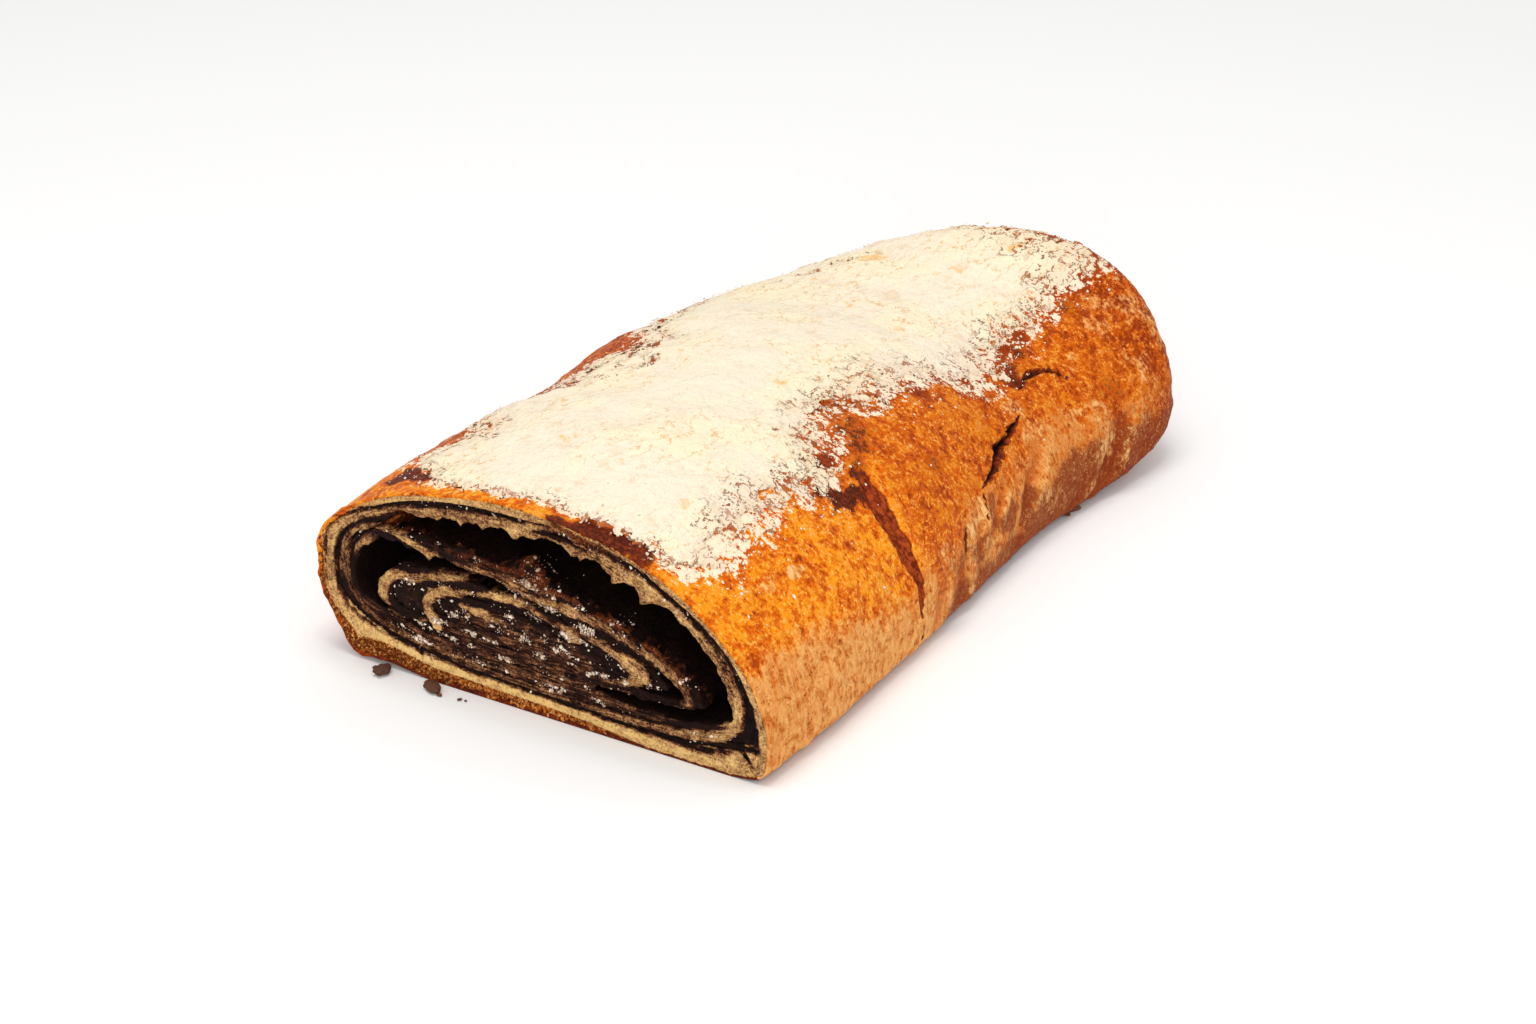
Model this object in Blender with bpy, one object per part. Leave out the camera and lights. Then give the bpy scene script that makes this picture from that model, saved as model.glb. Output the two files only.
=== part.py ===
"""Kokosh: a flattened roll of yeast dough and chocolate, cut across in front and closed behind.

Lengths are in metres. +Z is up, +X runs across the loaf, and +Y runs along it from the cut
to the closed end. The origin is under the middle of the loaf, on the surface it lies on.

Points are first worked out in the loaf's own frame, where y is 0 at the cut. "Angle" is the
place round a cross-section: 0 at the right side, a quarter turn at the crest, a half turn
at the left side and three quarters underneath.
"""

import math
from dataclasses import dataclass

import bmesh
import bpy
import numpy as np
from mathutils import Vector, noise

MM = 0.001
DEGREE = math.pi / 180
TURN = 2 * math.pi

# The loaf's outside.
LENGTH = 203 * MM
MIDDLE_X = -1.1 * MM
CREST_OFFSET = -1.2 * MM  # the crest is this far right of the middle of the width
LEFT_SIDE_HEIGHT = 25 * MM  # where the left side bulges most
RIGHT_SIDE_HEIGHT = 9.3 * MM
END_LENGTH = 60 * MM  # the stretch over which the closed end rounds off
END_HEIGHT_SHARE = 0.38  # the tip's height over the loaf's height
END_PLAN_POWER = 2.42
END_SIDE_POWER = 2.08
TOP_POWER = 2.0
BOTTOM_LEFT_POWER = 3.2
BOTTOM_RIGHT_POWER = 6.0
SETTLING = 0.7 * MM  # how much of the rounded underside is pressed flat

# The skin's relief.
SWELL_DEPTH = 0.8 * MM
SWELL_SPACING = 24 * MM
DIMPLE_DEPTH = 0.3 * MM
DIMPLE_SPACING = 8 * MM
FOOT_REACH = 3.6 * MM  # squashed crust that stands out along the lower left of the cut
FOOT_LENGTH = 22 * MM
FOOT_ANGLE = 224 * DEGREE
FOOT_SPREAD = 9 * DEGREE

# Meshing.
SKIN_COLUMNS = 60
SKIN_ROWS = 40
ROW_CROWDING = 1.5  # brings the rows together towards the closed end
TURN_POINTS = 18  # points round one turn of the rolled sheet
BEND_WORTH = 32 * MM  # a bend of one radian takes as many points as this much of straight sheet
ROLL_ROWS = (0.0, 10 * MM, 28 * MM, 52 * MM, 84 * MM, 118 * MM, 150 * MM, 172 * MM, 184 * MM)

# The roll's inside.
GAP = 0.3 * MM
ROLL_START = -0.17  # turns from the middle of the underside, where the chocolate begins
ROLL_START_CLEARANCE = 2.2 * MM  # between the chocolate's start and the end of its space
ROLL_END = 4.62
TOP_LEFT_POWER = 2.3
LOWER_POWER = 2.5

# The icing sugar.
SUGAR_GAP = 0.6 * MM
SUGAR_THICKNESS = 1.5 * MM
SUGAR_EDGE_THICKNESS = 0.6 * MM
SUGAR_LUMP_DEPTH = 0.5 * MM
SUGAR_LUMP_SPACING = 9 * MM
SUGAR_FRONT = 3.2 * MM
SUGAR_BACK = 192 * MM
SUGAR_ROWS = 24
SUGAR_COLUMNS = 22
SUGAR_RAGGEDNESS = 5 * DEGREE


@dataclass(frozen=True)
class Station:
    """The loaf's outline at one distance from the cut."""

    y: float
    left: float
    right: float
    height: float


STATIONS = (
    Station(0 * MM, -61.0 * MM, 56.6 * MM, 48.8 * MM),
    Station(35 * MM, -60.1 * MM, 57.3 * MM, 52.4 * MM),
    Station(70 * MM, -59.2 * MM, 56.2 * MM, 50.4 * MM),
    Station(105 * MM, -61.5 * MM, 54.7 * MM, 50.4 * MM),
    Station(140 * MM, -60.6 * MM, 54.0 * MM, 45.2 * MM),
    Station(160 * MM, -57.5 * MM, 58.0 * MM, 45.4 * MM),
    Station(180 * MM, -52.4 * MM, 68.5 * MM, 55.4 * MM),
    Station(LENGTH, -44.1 * MM, 92.0 * MM, 86.1 * MM),  # spread out, so that the end stays blunt
)


@dataclass(frozen=True)
class Side:
    """Where one turn of the rolled sheet reaches furthest out, to the middle of the dough."""

    reach: float
    centre: float
    thickness: float


@dataclass(frozen=True)
class Turn:
    """One turn of the rolled sheet at the cut, in the order in which it was rolled."""

    bottom: Side
    left: Side
    top: Side
    right: Side
    fall: float  # how squarely the sheet comes down from the top to the right


TURNS = (
    Turn(
        bottom=Side(2.0 * MM, 0 * MM, 3.0 * MM),
        left=Side(-57.9 * MM, 22.5 * MM, 3.0 * MM),
        top=Side(48.2 * MM, -4 * MM, 3.0 * MM),
        right=Side(55.4 * MM, 10 * MM, 3.0 * MM),
        fall=2.08,
    ),
    Turn(
        bottom=Side(6.0 * MM, 0 * MM, 1.8 * MM),
        left=Side(-53.7 * MM, 22 * MM, 2.4 * MM),
        top=Side(44.0 * MM, -5 * MM, 2.6 * MM),
        right=Side(49.2 * MM, 13 * MM, 3.4 * MM),
        fall=2.08,
    ),
    Turn(
        bottom=Side(9.4 * MM, 0 * MM, 1.8 * MM),
        left=Side(-50.2 * MM, 21 * MM, 2.2 * MM),
        top=Side(33.1 * MM, -41 * MM, 2.2 * MM),
        right=Side(37.6 * MM, 14 * MM, 2.8 * MM),
        fall=1.7,
    ),
    Turn(
        bottom=Side(12.8 * MM, 0 * MM, 1.8 * MM),
        left=Side(-42.5 * MM, 19 * MM, 3.8 * MM),
        top=Side(26.7 * MM, -20 * MM, 2.4 * MM),
        right=Side(25.3 * MM, 17 * MM, 3.6 * MM),
        fall=1.6,
    ),
    Turn(
        bottom=Side(16.0 * MM, -4 * MM, 1.6 * MM),
        left=Side(-31.0 * MM, 18.6 * MM, 3.0 * MM),
        top=Side(22.9 * MM, -18 * MM, 1.8 * MM),
        right=Side(12.0 * MM, 19 * MM, 2.0 * MM),
        fall=1.8,
    ),
)


@dataclass(frozen=True)
class Hollow:
    """Air under one stretch of the sheet, where the chocolate has sunk away from it."""

    start: float  # turns along the roll
    end: float
    share: float  # how much of the way to the next turn is empty
    depth: float  # how far it runs in from the cut


HOLLOWS = (
    Hollow(start=1.40, end=1.97, share=0.74, depth=84 * MM),
    Hollow(start=2.16, end=2.56, share=0.70, depth=52 * MM),
    Hollow(start=2.68, end=2.88, share=0.50, depth=28 * MM),
)


@dataclass(frozen=True)
class Crack:
    """A split in the crust, along points of (angle in degrees, distance from the cut)."""

    path: tuple
    width: float
    depth: float


CRACKS = (
    Crack(
        path=((46, 71 * MM), (38, 69 * MM), (27, 67.6 * MM), (14, 67 * MM), (4, 66 * MM)),
        width=2.9 * MM,
        depth=2.0 * MM,
    ),
    Crack(
        path=((33, 132 * MM), (30, 124 * MM), (26, 116 * MM), (21, 107 * MM), (20, 101 * MM)),
        width=2.4 * MM,
        depth=2.1 * MM,
    ),
    Crack(
        path=((43, 145 * MM), (44, 151 * MM), (41, 157 * MM), (37, 161 * MM)),
        width=1.7 * MM,
        depth=1.7 * MM,
    ),
)
CRACK_STEPS = 12
CRACK_RISE = 3 * MM  # how far a crack's cutter stands above the skin

# How far down the right and the left side the icing sugar reaches: (distance from the cut, degrees).
SUGAR_RIGHT_EDGE = (
    (0 * MM, 54), (15 * MM, 49), (34 * MM, 50), (52 * MM, 46), (70 * MM, 57), (84 * MM, 63),
    (108 * MM, 58), (127 * MM, 48), (144 * MM, 49), (165 * MM, 57), (192 * MM, 62),
)
SUGAR_LEFT_EDGE = (
    (0 * MM, 118), (14 * MM, 132), (28 * MM, 129), (45 * MM, 132), (75 * MM, 135), (92 * MM, 124),
    (115 * MM, 130), (144 * MM, 140), (170 * MM, 138), (192 * MM, 126),
)


def smooth_through(x, xs, values):
    """The value at x of a smooth curve through the points (xs, values)."""
    xs, values = np.asarray(xs, float), np.asarray(values, float)
    slopes = np.gradient(values, xs)
    i = np.clip(np.searchsorted(xs, x) - 1, 0, len(xs) - 2)
    step = xs[i + 1] - xs[i]
    u = np.clip((x - xs[i]) / step, 0, 1)
    start = (1 + 2 * u) * (1 - u) ** 2 * values[i] + u * (1 - u) ** 2 * step * slopes[i]
    end = u**2 * (3 - 2 * u) * values[i + 1] - u**2 * (1 - u) * step * slopes[i + 1]
    return float(start + end)


@dataclass(frozen=True)
class Section:
    """The loaf's cross-section at one distance from the cut, before any relief."""

    left: float
    right: float
    height: float
    crest_x: float
    left_side: float
    right_side: float
    base: float


def section_at(y):
    """The cross-section at distance y from the cut."""
    ys = [station.y for station in STATIONS]
    left = smooth_through(y, ys, [station.left for station in STATIONS])
    right = smooth_through(y, ys, [station.right for station in STATIONS])
    height = smooth_through(y, ys, [station.height for station in STATIONS])
    middle = (left + right) / 2
    tip = END_HEIGHT_SHARE * height
    along = min(max((y - (LENGTH - END_LENGTH)) / END_LENGTH, 0.0), 1.0)
    narrowing = (1 - along**END_PLAN_POWER) ** (1 / END_PLAN_POWER)
    lowering = (1 - along**END_SIDE_POWER) ** (1 / END_SIDE_POWER)
    return Section(
        left=middle + (left - middle) * narrowing,
        right=middle + (right - middle) * narrowing,
        height=tip + (height - tip) * lowering,
        crest_x=middle + CREST_OFFSET * narrowing,
        left_side=tip + (LEFT_SIDE_HEIGHT - tip) * lowering,
        right_side=tip + (RIGHT_SIDE_HEIGHT - tip) * lowering,
        base=tip * (1 - lowering),
    )


def bare_skin(angle, y):
    """The loaf's outside at an angle, before its relief, in the loaf's own frame."""
    section = section_at(y)
    cosine, sine = math.cos(angle), math.sin(angle)
    rightwards, upwards = cosine >= 0, sine >= 0
    side = section.right_side if rightwards else section.left_side
    reach = section.right - section.crest_x if rightwards else section.crest_x - section.left
    rise = section.height - side if upwards else side - section.base
    power = TOP_POWER
    if not upwards:
        power = BOTTOM_RIGHT_POWER if rightwards else BOTTOM_LEFT_POWER
    x = section.crest_x + math.copysign(reach * abs(cosine) ** (2 / power), cosine)
    z = side + math.copysign(rise * abs(sine) ** (2 / power), sine)
    pressed = (z - SETTLING) * section.height / (section.height - SETTLING)
    return Vector((x, y, max(pressed, 0.0)))


def outward(angle, y):
    """The direction that the loaf's outside faces at an angle."""
    turn, travel = 1 * DEGREE, 1 * MM
    round_it = bare_skin(angle + turn, y) - bare_skin(angle - turn, y)
    near, far = max(y - travel, 0.0), min(y + travel, LENGTH - travel)
    along_it = bare_skin(angle, far) - bare_skin(angle, near)
    return along_it.cross(round_it).normalized()


def foot(angle, y):
    """How far the squashed crust at the lower left of the cut stands out."""
    off = (angle % TURN - FOOT_ANGLE) / FOOT_SPREAD
    return FOOT_REACH * math.exp(-off * off) * max(0.0, 1 - y / FOOT_LENGTH)


def relief(point, angle, y):
    """How far the crust stands out from the bare skin: broad swells, dimples and the foot."""
    swell = SWELL_DEPTH * noise.noise(point / SWELL_SPACING)
    dimple = DIMPLE_DEPTH * noise.noise(point / DIMPLE_SPACING)
    off_the_base = min(1.0, max(0.0, point.z / (6 * MM)))
    return (swell + dimple) * off_the_base + foot(angle, y)


def skin(angle, y, stand_off=0.0):
    """A point on the crust, or this far outside it."""
    point = bare_skin(angle, y)
    moved = point + outward(angle, y) * (relief(point, angle, y) + stand_off)
    moved.y = y if stand_off == 0.0 else moved.y
    moved.z = max(moved.z, 0.0)
    return moved


def even_angles(count):
    """Angles that divide the girth of the loaf's widest stretch evenly, starting underneath."""
    fine = np.linspace(-TURN / 4, 3 * TURN / 4, 721)
    points = [bare_skin(angle, STATIONS[1].y) for angle in fine]
    steps = [(b - a).length for a, b in zip(points, points[1:])]
    girth = np.concatenate([[0], np.cumsum(steps)])
    return list(np.interp(np.linspace(0, girth[-1], count, endpoint=False), girth, fine))


def placed(point):
    """A point of the loaf's own frame in the part's frame."""
    return Vector((point.x - MIDDLE_X, point.y - LENGTH / 2, point.z))


def new_object(name, rings, tip=None):
    """A closed mesh through rings of points, capped at both ends or drawn to a tip at the last."""
    mesh = bmesh.new()
    loops = [[mesh.verts.new(placed(point)) for point in ring] for ring in rings]
    for near, far in zip(loops, loops[1:]):
        for i in range(len(near)):
            j = (i + 1) % len(near)
            mesh.faces.new((near[i], near[j], far[j], far[i]))
    mesh.faces.new(loops[0])
    if tip is None:
        mesh.faces.new(loops[-1])
    else:
        point = mesh.verts.new(placed(tip))
        for i, corner in enumerate(loops[-1]):
            mesh.faces.new((corner, loops[-1][(i + 1) % len(loops[-1])], point))
    bmesh.ops.recalc_face_normals(mesh, faces=mesh.faces)
    data = bpy.data.meshes.new(name)
    mesh.to_mesh(data)
    mesh.free()
    made = bpy.data.objects.new(name, data)
    bpy.context.scene.collection.objects.link(made)
    return made


def loaf_body():
    """The loaf's outside as one solid, flat at the cut."""
    angles = even_angles(SKIN_COLUMNS)
    shares = np.linspace(0, 1, SKIN_ROWS + 1)[:-1]
    rows = [LENGTH * (1 - (1 - share) ** ROW_CROWDING) for share in shares]
    rings = [[skin(angle, y) for angle in angles] for y in rows]
    return new_object("dough", rings, tip=bare_skin(0.0, LENGTH))


QUARTERS = {"bottom": 0.0, "left": 0.25, "top": 0.5, "right": 0.75}
OUTWARDS = {"bottom": -1, "left": -1, "top": 1, "right": 1}


def side_at(name, turns):
    """One side of the roll, this many turns along the sheet."""
    where = [turn + QUARTERS[name] for turn in range(len(TURNS))]
    sides = [getattr(turn, name) for turn in TURNS]
    return Side(
        float(np.interp(turns, where, [side.reach for side in sides])),
        float(np.interp(turns, where, [side.centre for side in sides])),
        float(np.interp(turns, where, [side.thickness for side in sides])),
    )


def sheet_face(turns, outer, stand_off):
    """(x, z) on the outer or the inner face of the sheet at the cut, this far off the dough."""
    thinning = min(1.0, 0.35 + (ROLL_END - turns) / 0.2)  # towards the sheet's end
    reach, centre = {}, {}
    for name, sign in OUTWARDS.items():
        side = side_at(name, turns)
        off = side.thickness * thinning / 2 + stand_off
        reach[name] = side.reach + sign * (off if outer else -off)
        centre[name] = side.centre
    whole, part = divmod(turns, 1.0)
    quarter, swing = divmod(part * 4, 1.0)
    upper, leftwards = quarter in (1, 2), quarter in (0, 1)
    end, side = "top" if upper else "bottom", "left" if leftwards else "right"
    angle = swing * TURN / 4
    from_end = quarter in (0, 2)
    sideways = math.sin(angle) if from_end else math.cos(angle)
    endways = math.cos(angle) if from_end else math.sin(angle)
    power = LOWER_POWER
    if upper:
        turn = TURNS[min(int(whole), len(TURNS) - 1)]
        power = TOP_LEFT_POWER if leftwards else turn.fall
    x = centre[end] + (reach[side] - centre[end]) * sideways ** (2 / power)
    z = centre[side] + (reach[end] - centre[side]) * endways ** (2 / power)
    return Vector((x, z))


def sheet_stops():
    """Places along the sheet, in turns: the same in every turn, and closer where it bends."""
    fine = np.linspace(1, 2, 201)
    points = [sheet_face(turns, False, 0.0) for turns in fine]
    steps = [b - a for a, b in zip(points, points[1:])]
    bends = [0.0] + [a.angle(b) for a, b in zip(steps, steps[1:])]
    worth = np.cumsum([0.0] + [step.length + BEND_WORTH * b for step, b in zip(steps, bends)])
    once = np.interp(np.linspace(0, worth[-1], TURN_POINTS, endpoint=False), worth, fine)
    stops = [turns + whole for whole in range(-2, len(TURNS)) for turns in once]
    inside = [turns for turns in stops if ROLL_START + 0.02 < turns < ROLL_END - 0.02]
    return [ROLL_START] + inside + [ROLL_END]


STOPS = sheet_stops()


def emptiness(turns, y):
    """The share of the space under the sheet that is air, at distance y from the cut."""
    share = 0.0
    for hollow in HOLLOWS:
        along = (turns - hollow.start) / (hollow.end - hollow.start)
        if 0 < along < 1 and y < hollow.depth:
            bulge = min(1.0, 3 * math.sin(math.pi * along))
            share = max(share, hollow.share * bulge * math.sqrt(1 - (y / hollow.depth) ** 2))
    return share


def carried(flat, y):
    """A point (x, z) of the cut, moved back to distance y as the loaf's outline changes."""
    front, here = section_at(0.0), section_at(y)
    widening = (here.right - here.left) / (front.right - front.left)
    middle = (here.left + here.right) / 2
    x = middle + (flat.x - (front.left + front.right) / 2) * widening
    z = here.base + flat.y * (here.height - here.base) / front.height
    return Vector((x, y, z))


def towards(point, other, length=GAP):
    """A step of this length from one point towards another."""
    return (other - point).normalized() * length


def roll_outline(y, stand_off):
    """The space between the turns of dough, this far off the dough, as a ring of points.

    It runs inwards along the inner face of the sheet, round the sheet's end and back out
    along its outer face, to where the chocolate begins.
    """
    ring = [sheet_face(turns, False, stand_off) for turns in STOPS]
    covered = [turns for turns in STOPS if turns > ROLL_START + 1.02][::-1] + [ROLL_START + 1]
    ring += [sheet_face(turns, True, stand_off) for turns in covered]
    return [carried(flat, y) for flat in ring]


def chocolate_outline(y):
    """The chocolate's outline, clear of the dough and sunk away from it at the hollows."""
    ring = roll_outline(y, GAP)
    for i, turns in enumerate(STOPS):
        share = emptiness(turns, y)
        if share > 0:
            floor = carried(sheet_face(turns + 1, True, GAP), y)
            ring[i] = ring[i].lerp(floor, share)
    last = len(STOPS) - 1
    ring[0] += towards(ring[0], ring[1], ROLL_START_CLEARANCE)
    ring[-1] += towards(ring[-1], ring[-2], ROLL_START_CLEARANCE)
    ring[last] -= towards(ring[last], ring[last - 1])  # clear of the sheet's own end
    ring[last + 1] -= towards(ring[last + 1], ring[last + 2])
    return ring


def cut_roll_space(dough):
    """Takes the spiral space for the chocolate out of the loaf, open at the cut."""
    rings = [roll_outline(y, 0.0) for y in ROLL_ROWS]
    ahead = [point - Vector((0, 5 * MM, 0)) for point in rings[0]]
    cutter = new_object("roll_space", [ahead] + rings)
    subtract(dough, cutter)


def crack_cutter(crack):
    """A wedge that follows a crack, widest in its middle and drawn to a point at its ends."""
    angles, distances = zip(*crack.path)
    stops = np.linspace(0, 1, len(crack.path))
    rings = []
    for share in np.linspace(0, 1, CRACK_STEPS + 1):
        angle = smooth_through(share, stops, angles) * DEGREE
        y = smooth_through(share, stops, distances)
        ahead = min(share + 0.02, 1.0)
        behind = max(share - 0.02, 0.0)
        path = [
            skin(smooth_through(s, stops, angles) * DEGREE, smooth_through(s, stops, distances))
            for s in (behind, ahead)
        ]
        facing = outward(angle, y)
        across = (path[1] - path[0]).cross(facing).normalized()
        swelling = 0.12 + 0.88 * math.sin(math.pi * share)
        half = crack.width * swelling / 2
        centre = skin(angle, y)
        lip = centre + facing * CRACK_RISE
        spread = 1 + CRACK_RISE / crack.depth
        rings.append([lip + across * half * spread, centre - facing * crack.depth * swelling,
                      lip - across * half * spread])
    return new_object("crack_cutter", rings)


def subtract(body, cutter):
    """Cuts one object out of another, and removes the cutter."""
    cutter.hide_render = True
    cut = body.modifiers.new("cut", "BOOLEAN")
    cut.operation = "DIFFERENCE"
    cut.solver = "EXACT"
    cut.object = cutter
    bpy.context.view_layer.objects.active = body
    bpy.ops.object.modifier_apply(modifier=cut.name)
    bpy.data.objects.remove(cutter)


def chocolate_roll():
    """The chocolate between the turns of dough, sunk away from them at the hollows."""
    rows = list(ROLL_ROWS)
    rows[-1] -= GAP
    return new_object("chocolate_filling", [chocolate_outline(y) for y in rows])


def edge_angle(edge, y, seed):
    """Where the sugar ends on one side, with a ragged wander added to its course."""
    distances, angles = zip(*edge)
    wander = noise.noise(Vector((y / (7 * MM), seed, 0)))
    return smooth_through(y, distances, angles) * DEGREE + SUGAR_RAGGEDNESS * wander


def sugar_coat():
    """The coat of icing sugar over the top, as a lumpy skin that thins out at its edges."""
    outer, inner = [], []
    for y in np.linspace(SUGAR_FRONT, SUGAR_BACK, SUGAR_ROWS + 1):
        right, left = edge_angle(SUGAR_RIGHT_EDGE, y, 3.0), edge_angle(SUGAR_LEFT_EDGE, y, 8.0)
        from_end = min(y - SUGAR_FRONT, SUGAR_BACK - y) / (5 * MM)
        top, under = [], []
        for share in np.linspace(0, 1, SUGAR_COLUMNS + 1):
            angle = right + (left - right) * share
            full = min(1.0, from_end, 6 * share, 6 * (1 - share))
            point = bare_skin(angle, y)
            lump = SUGAR_LUMP_DEPTH * noise.noise(point / SUGAR_LUMP_SPACING)
            spread = SUGAR_EDGE_THICKNESS + (SUGAR_THICKNESS - SUGAR_EDGE_THICKNESS) * full
            top.append(skin(angle, y, SUGAR_GAP + spread + lump * full))
            under.append(skin(angle, y, SUGAR_GAP))
        outer.append(top)
        inner.append(under)
    rings = [top + under[::-1] for top, under in zip(outer, inner)]
    return new_object("icing_sugar", rings)


@dataclass(frozen=True)
class Finish:
    """A piece's plain colour and gloss."""

    name: str
    colour: tuple
    roughness: float


FINISHES = {
    "dough": Finish("baked_crust", (0.60, 0.27, 0.07, 1.0), 0.55),
    "chocolate_filling": Finish("dark_chocolate", (0.035, 0.018, 0.012, 1.0), 0.45),
    "icing_sugar": Finish("white_sugar", (0.90, 0.85, 0.74, 1.0), 0.9),
}


def dress(piece):
    """Gives a piece its material and smooth shading."""
    finish = FINISHES[piece.name]
    material = bpy.data.materials.new(finish.name)
    material.use_nodes = True
    shader = material.node_tree.nodes["Principled BSDF"]
    shader.inputs["Base Color"].default_value = finish.colour
    shader.inputs["Roughness"].default_value = finish.roughness
    shader.inputs["Metallic"].default_value = 0.0
    piece.data.materials.clear()
    piece.data.materials.append(material)
    piece.data.shade_smooth()
    piece.data.set_sharp_from_angle(angle=40 * DEGREE)


def main():
    """Builds the loaf in an empty scene."""
    for old in list(bpy.data.objects):
        bpy.data.objects.remove(old)
    dough = loaf_body()
    cut_roll_space(dough)
    for crack in CRACKS:
        subtract(dough, crack_cutter(crack))
    for piece in (dough, chocolate_roll(), sugar_coat()):
        dress(piece)


main()
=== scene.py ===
"""The looks of the kokosh: a rolled loaf with chocolate between its turns, under icing sugar.

The loaf lies along y and its cut end faces low y. Shapes are worked out in the loaf's own
frame, where x = 0 is near its middle, y is the distance from the cut and z is the height above
the floor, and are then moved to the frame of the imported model. The crust, the rolled sheet,
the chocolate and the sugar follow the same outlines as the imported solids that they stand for.
"""

import logging
import math
from dataclasses import dataclass
from enum import Enum
from typing import Sequence

import bpy
import numpy as np
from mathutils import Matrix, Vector, noise

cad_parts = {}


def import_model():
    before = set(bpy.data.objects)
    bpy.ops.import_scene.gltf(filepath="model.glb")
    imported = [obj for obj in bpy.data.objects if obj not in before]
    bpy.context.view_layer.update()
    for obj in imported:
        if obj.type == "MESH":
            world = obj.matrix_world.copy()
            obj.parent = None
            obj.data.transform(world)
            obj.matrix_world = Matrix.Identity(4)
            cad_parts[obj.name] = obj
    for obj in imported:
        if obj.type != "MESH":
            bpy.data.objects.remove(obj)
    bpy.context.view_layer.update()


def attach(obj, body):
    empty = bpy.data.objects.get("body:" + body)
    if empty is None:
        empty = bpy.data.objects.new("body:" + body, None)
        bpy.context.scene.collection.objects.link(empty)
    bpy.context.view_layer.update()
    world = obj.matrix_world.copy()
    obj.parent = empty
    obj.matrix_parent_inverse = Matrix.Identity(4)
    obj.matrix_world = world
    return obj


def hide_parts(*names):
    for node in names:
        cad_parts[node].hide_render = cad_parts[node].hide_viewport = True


MM = 0.001
DEGREE = math.pi / 180
TURN = 360 * DEGREE
MEETING = 2e-6  # points of a piece that are nearer than this are one point
LOG = logging.getLogger("kokosh")
Array = np.ndarray


# ---------------------------------------------------------------- numbers and relief


def fractal(points: Array, spacing: float, seed: float = 0.0, octaves: int = 1) -> Array:
    """Smooth random relief at each point.

    Args:
        points: places, with x, y and z last.
        spacing: size of the largest lumps.
        seed: shifts the pattern.
        octaves: how many finer patterns are added, each half as large and half as strong.

    Returns:
        Values from about -1 to 1, one for each place.
    """
    places = (points.reshape(-1, 3) / spacing + (0.0, 0.0, 17.0 * seed)).tolist()
    if octaves == 1:
        values = [noise.noise(place) for place in places]
    else:
        values = [noise.fractal(place, 1.0, 2.0, octaves) for place in places]
    return np.array(values).reshape(points.shape[:-1])


def ease(low: float, high: float, values: Array) -> Array:
    """A smooth rise from 0 at low to 1 at high; high may be the smaller."""
    share = np.clip((values - low) / (high - low), 0.0, 1.0)
    return share * share * (3 - 2 * share)


def smooth_through(x: Array, xs: Sequence[float], values: Sequence[float]) -> Array:
    """A smooth curve through a few points.

    Args:
        x: where its values are wanted.
        xs: where its points are, in rising order.
        values: its values at those points.

    Returns:
        Its values at x.
    """
    xs, values = np.asarray(xs, float), np.asarray(values, float)
    slopes = np.gradient(values, xs)
    i = np.clip(np.searchsorted(xs, x) - 1, 0, len(xs) - 2)
    step = xs[i + 1] - xs[i]
    u = np.clip((x - xs[i]) / step, 0, 1)
    start = (1 + 2 * u) * (1 - u) ** 2 * values[i] + u * (1 - u) ** 2 * step * slopes[i]
    end = u**2 * (3 - 2 * u) * values[i + 1] - u**2 * (1 - u) * step * slopes[i + 1]
    return start + end


def through(x: Array, table: Sequence[tuple]) -> Array:
    """The values at x of a table of (x, value), straight between its rows."""
    return np.interp(x, *zip(*table))


def hump(values: Array, middle: float = 0.0, wide: float = 1.0) -> Array:
    """A smooth hump, 1 at its middle, that is nearly gone at twice this width from it."""
    return np.exp(-(((values - middle) / wide) ** 2))


def most(*values: Array) -> Array:
    """The largest of several values at each place."""
    return np.maximum.reduce(np.broadcast_arrays(*values))


def lerp(first: Array, second: Array, share: Array) -> Array:
    """Points this share of the way from the first to the second."""
    return first + (second - first) * np.asarray(share)[..., None]


def unit(vectors: Array) -> Array:
    """The vectors at length 1."""
    return vectors / np.maximum(np.linalg.norm(vectors, axis=-1, keepdims=True), 1e-12)


def run_along(points: Array) -> Array:
    """The distance along a line of points, from the first of them to each."""
    return np.concatenate([[0.0], np.cumsum(np.linalg.norm(np.diff(points, axis=0), axis=-1))])


def places_of(shape: tuple, *parts: object) -> Array:
    """Places whose x, y and z are each spread over this shape."""
    return np.stack([np.broadcast_to(part, shape) for part in parts], axis=-1)


# ---------------------------------------------------------------- meshes


def deselect() -> None:
    """Leaves edit mode and deselects every object."""
    if bpy.context.object and bpy.context.object.mode != "OBJECT":
        bpy.ops.object.mode_set(mode="OBJECT")
    bpy.ops.object.select_all(action="DESELECT")


class Facing(Enum):
    """How the faces of a piece are turned outwards."""

    FLIPPED = "flipped"
    RECALCULATED = "recalculated"


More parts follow.
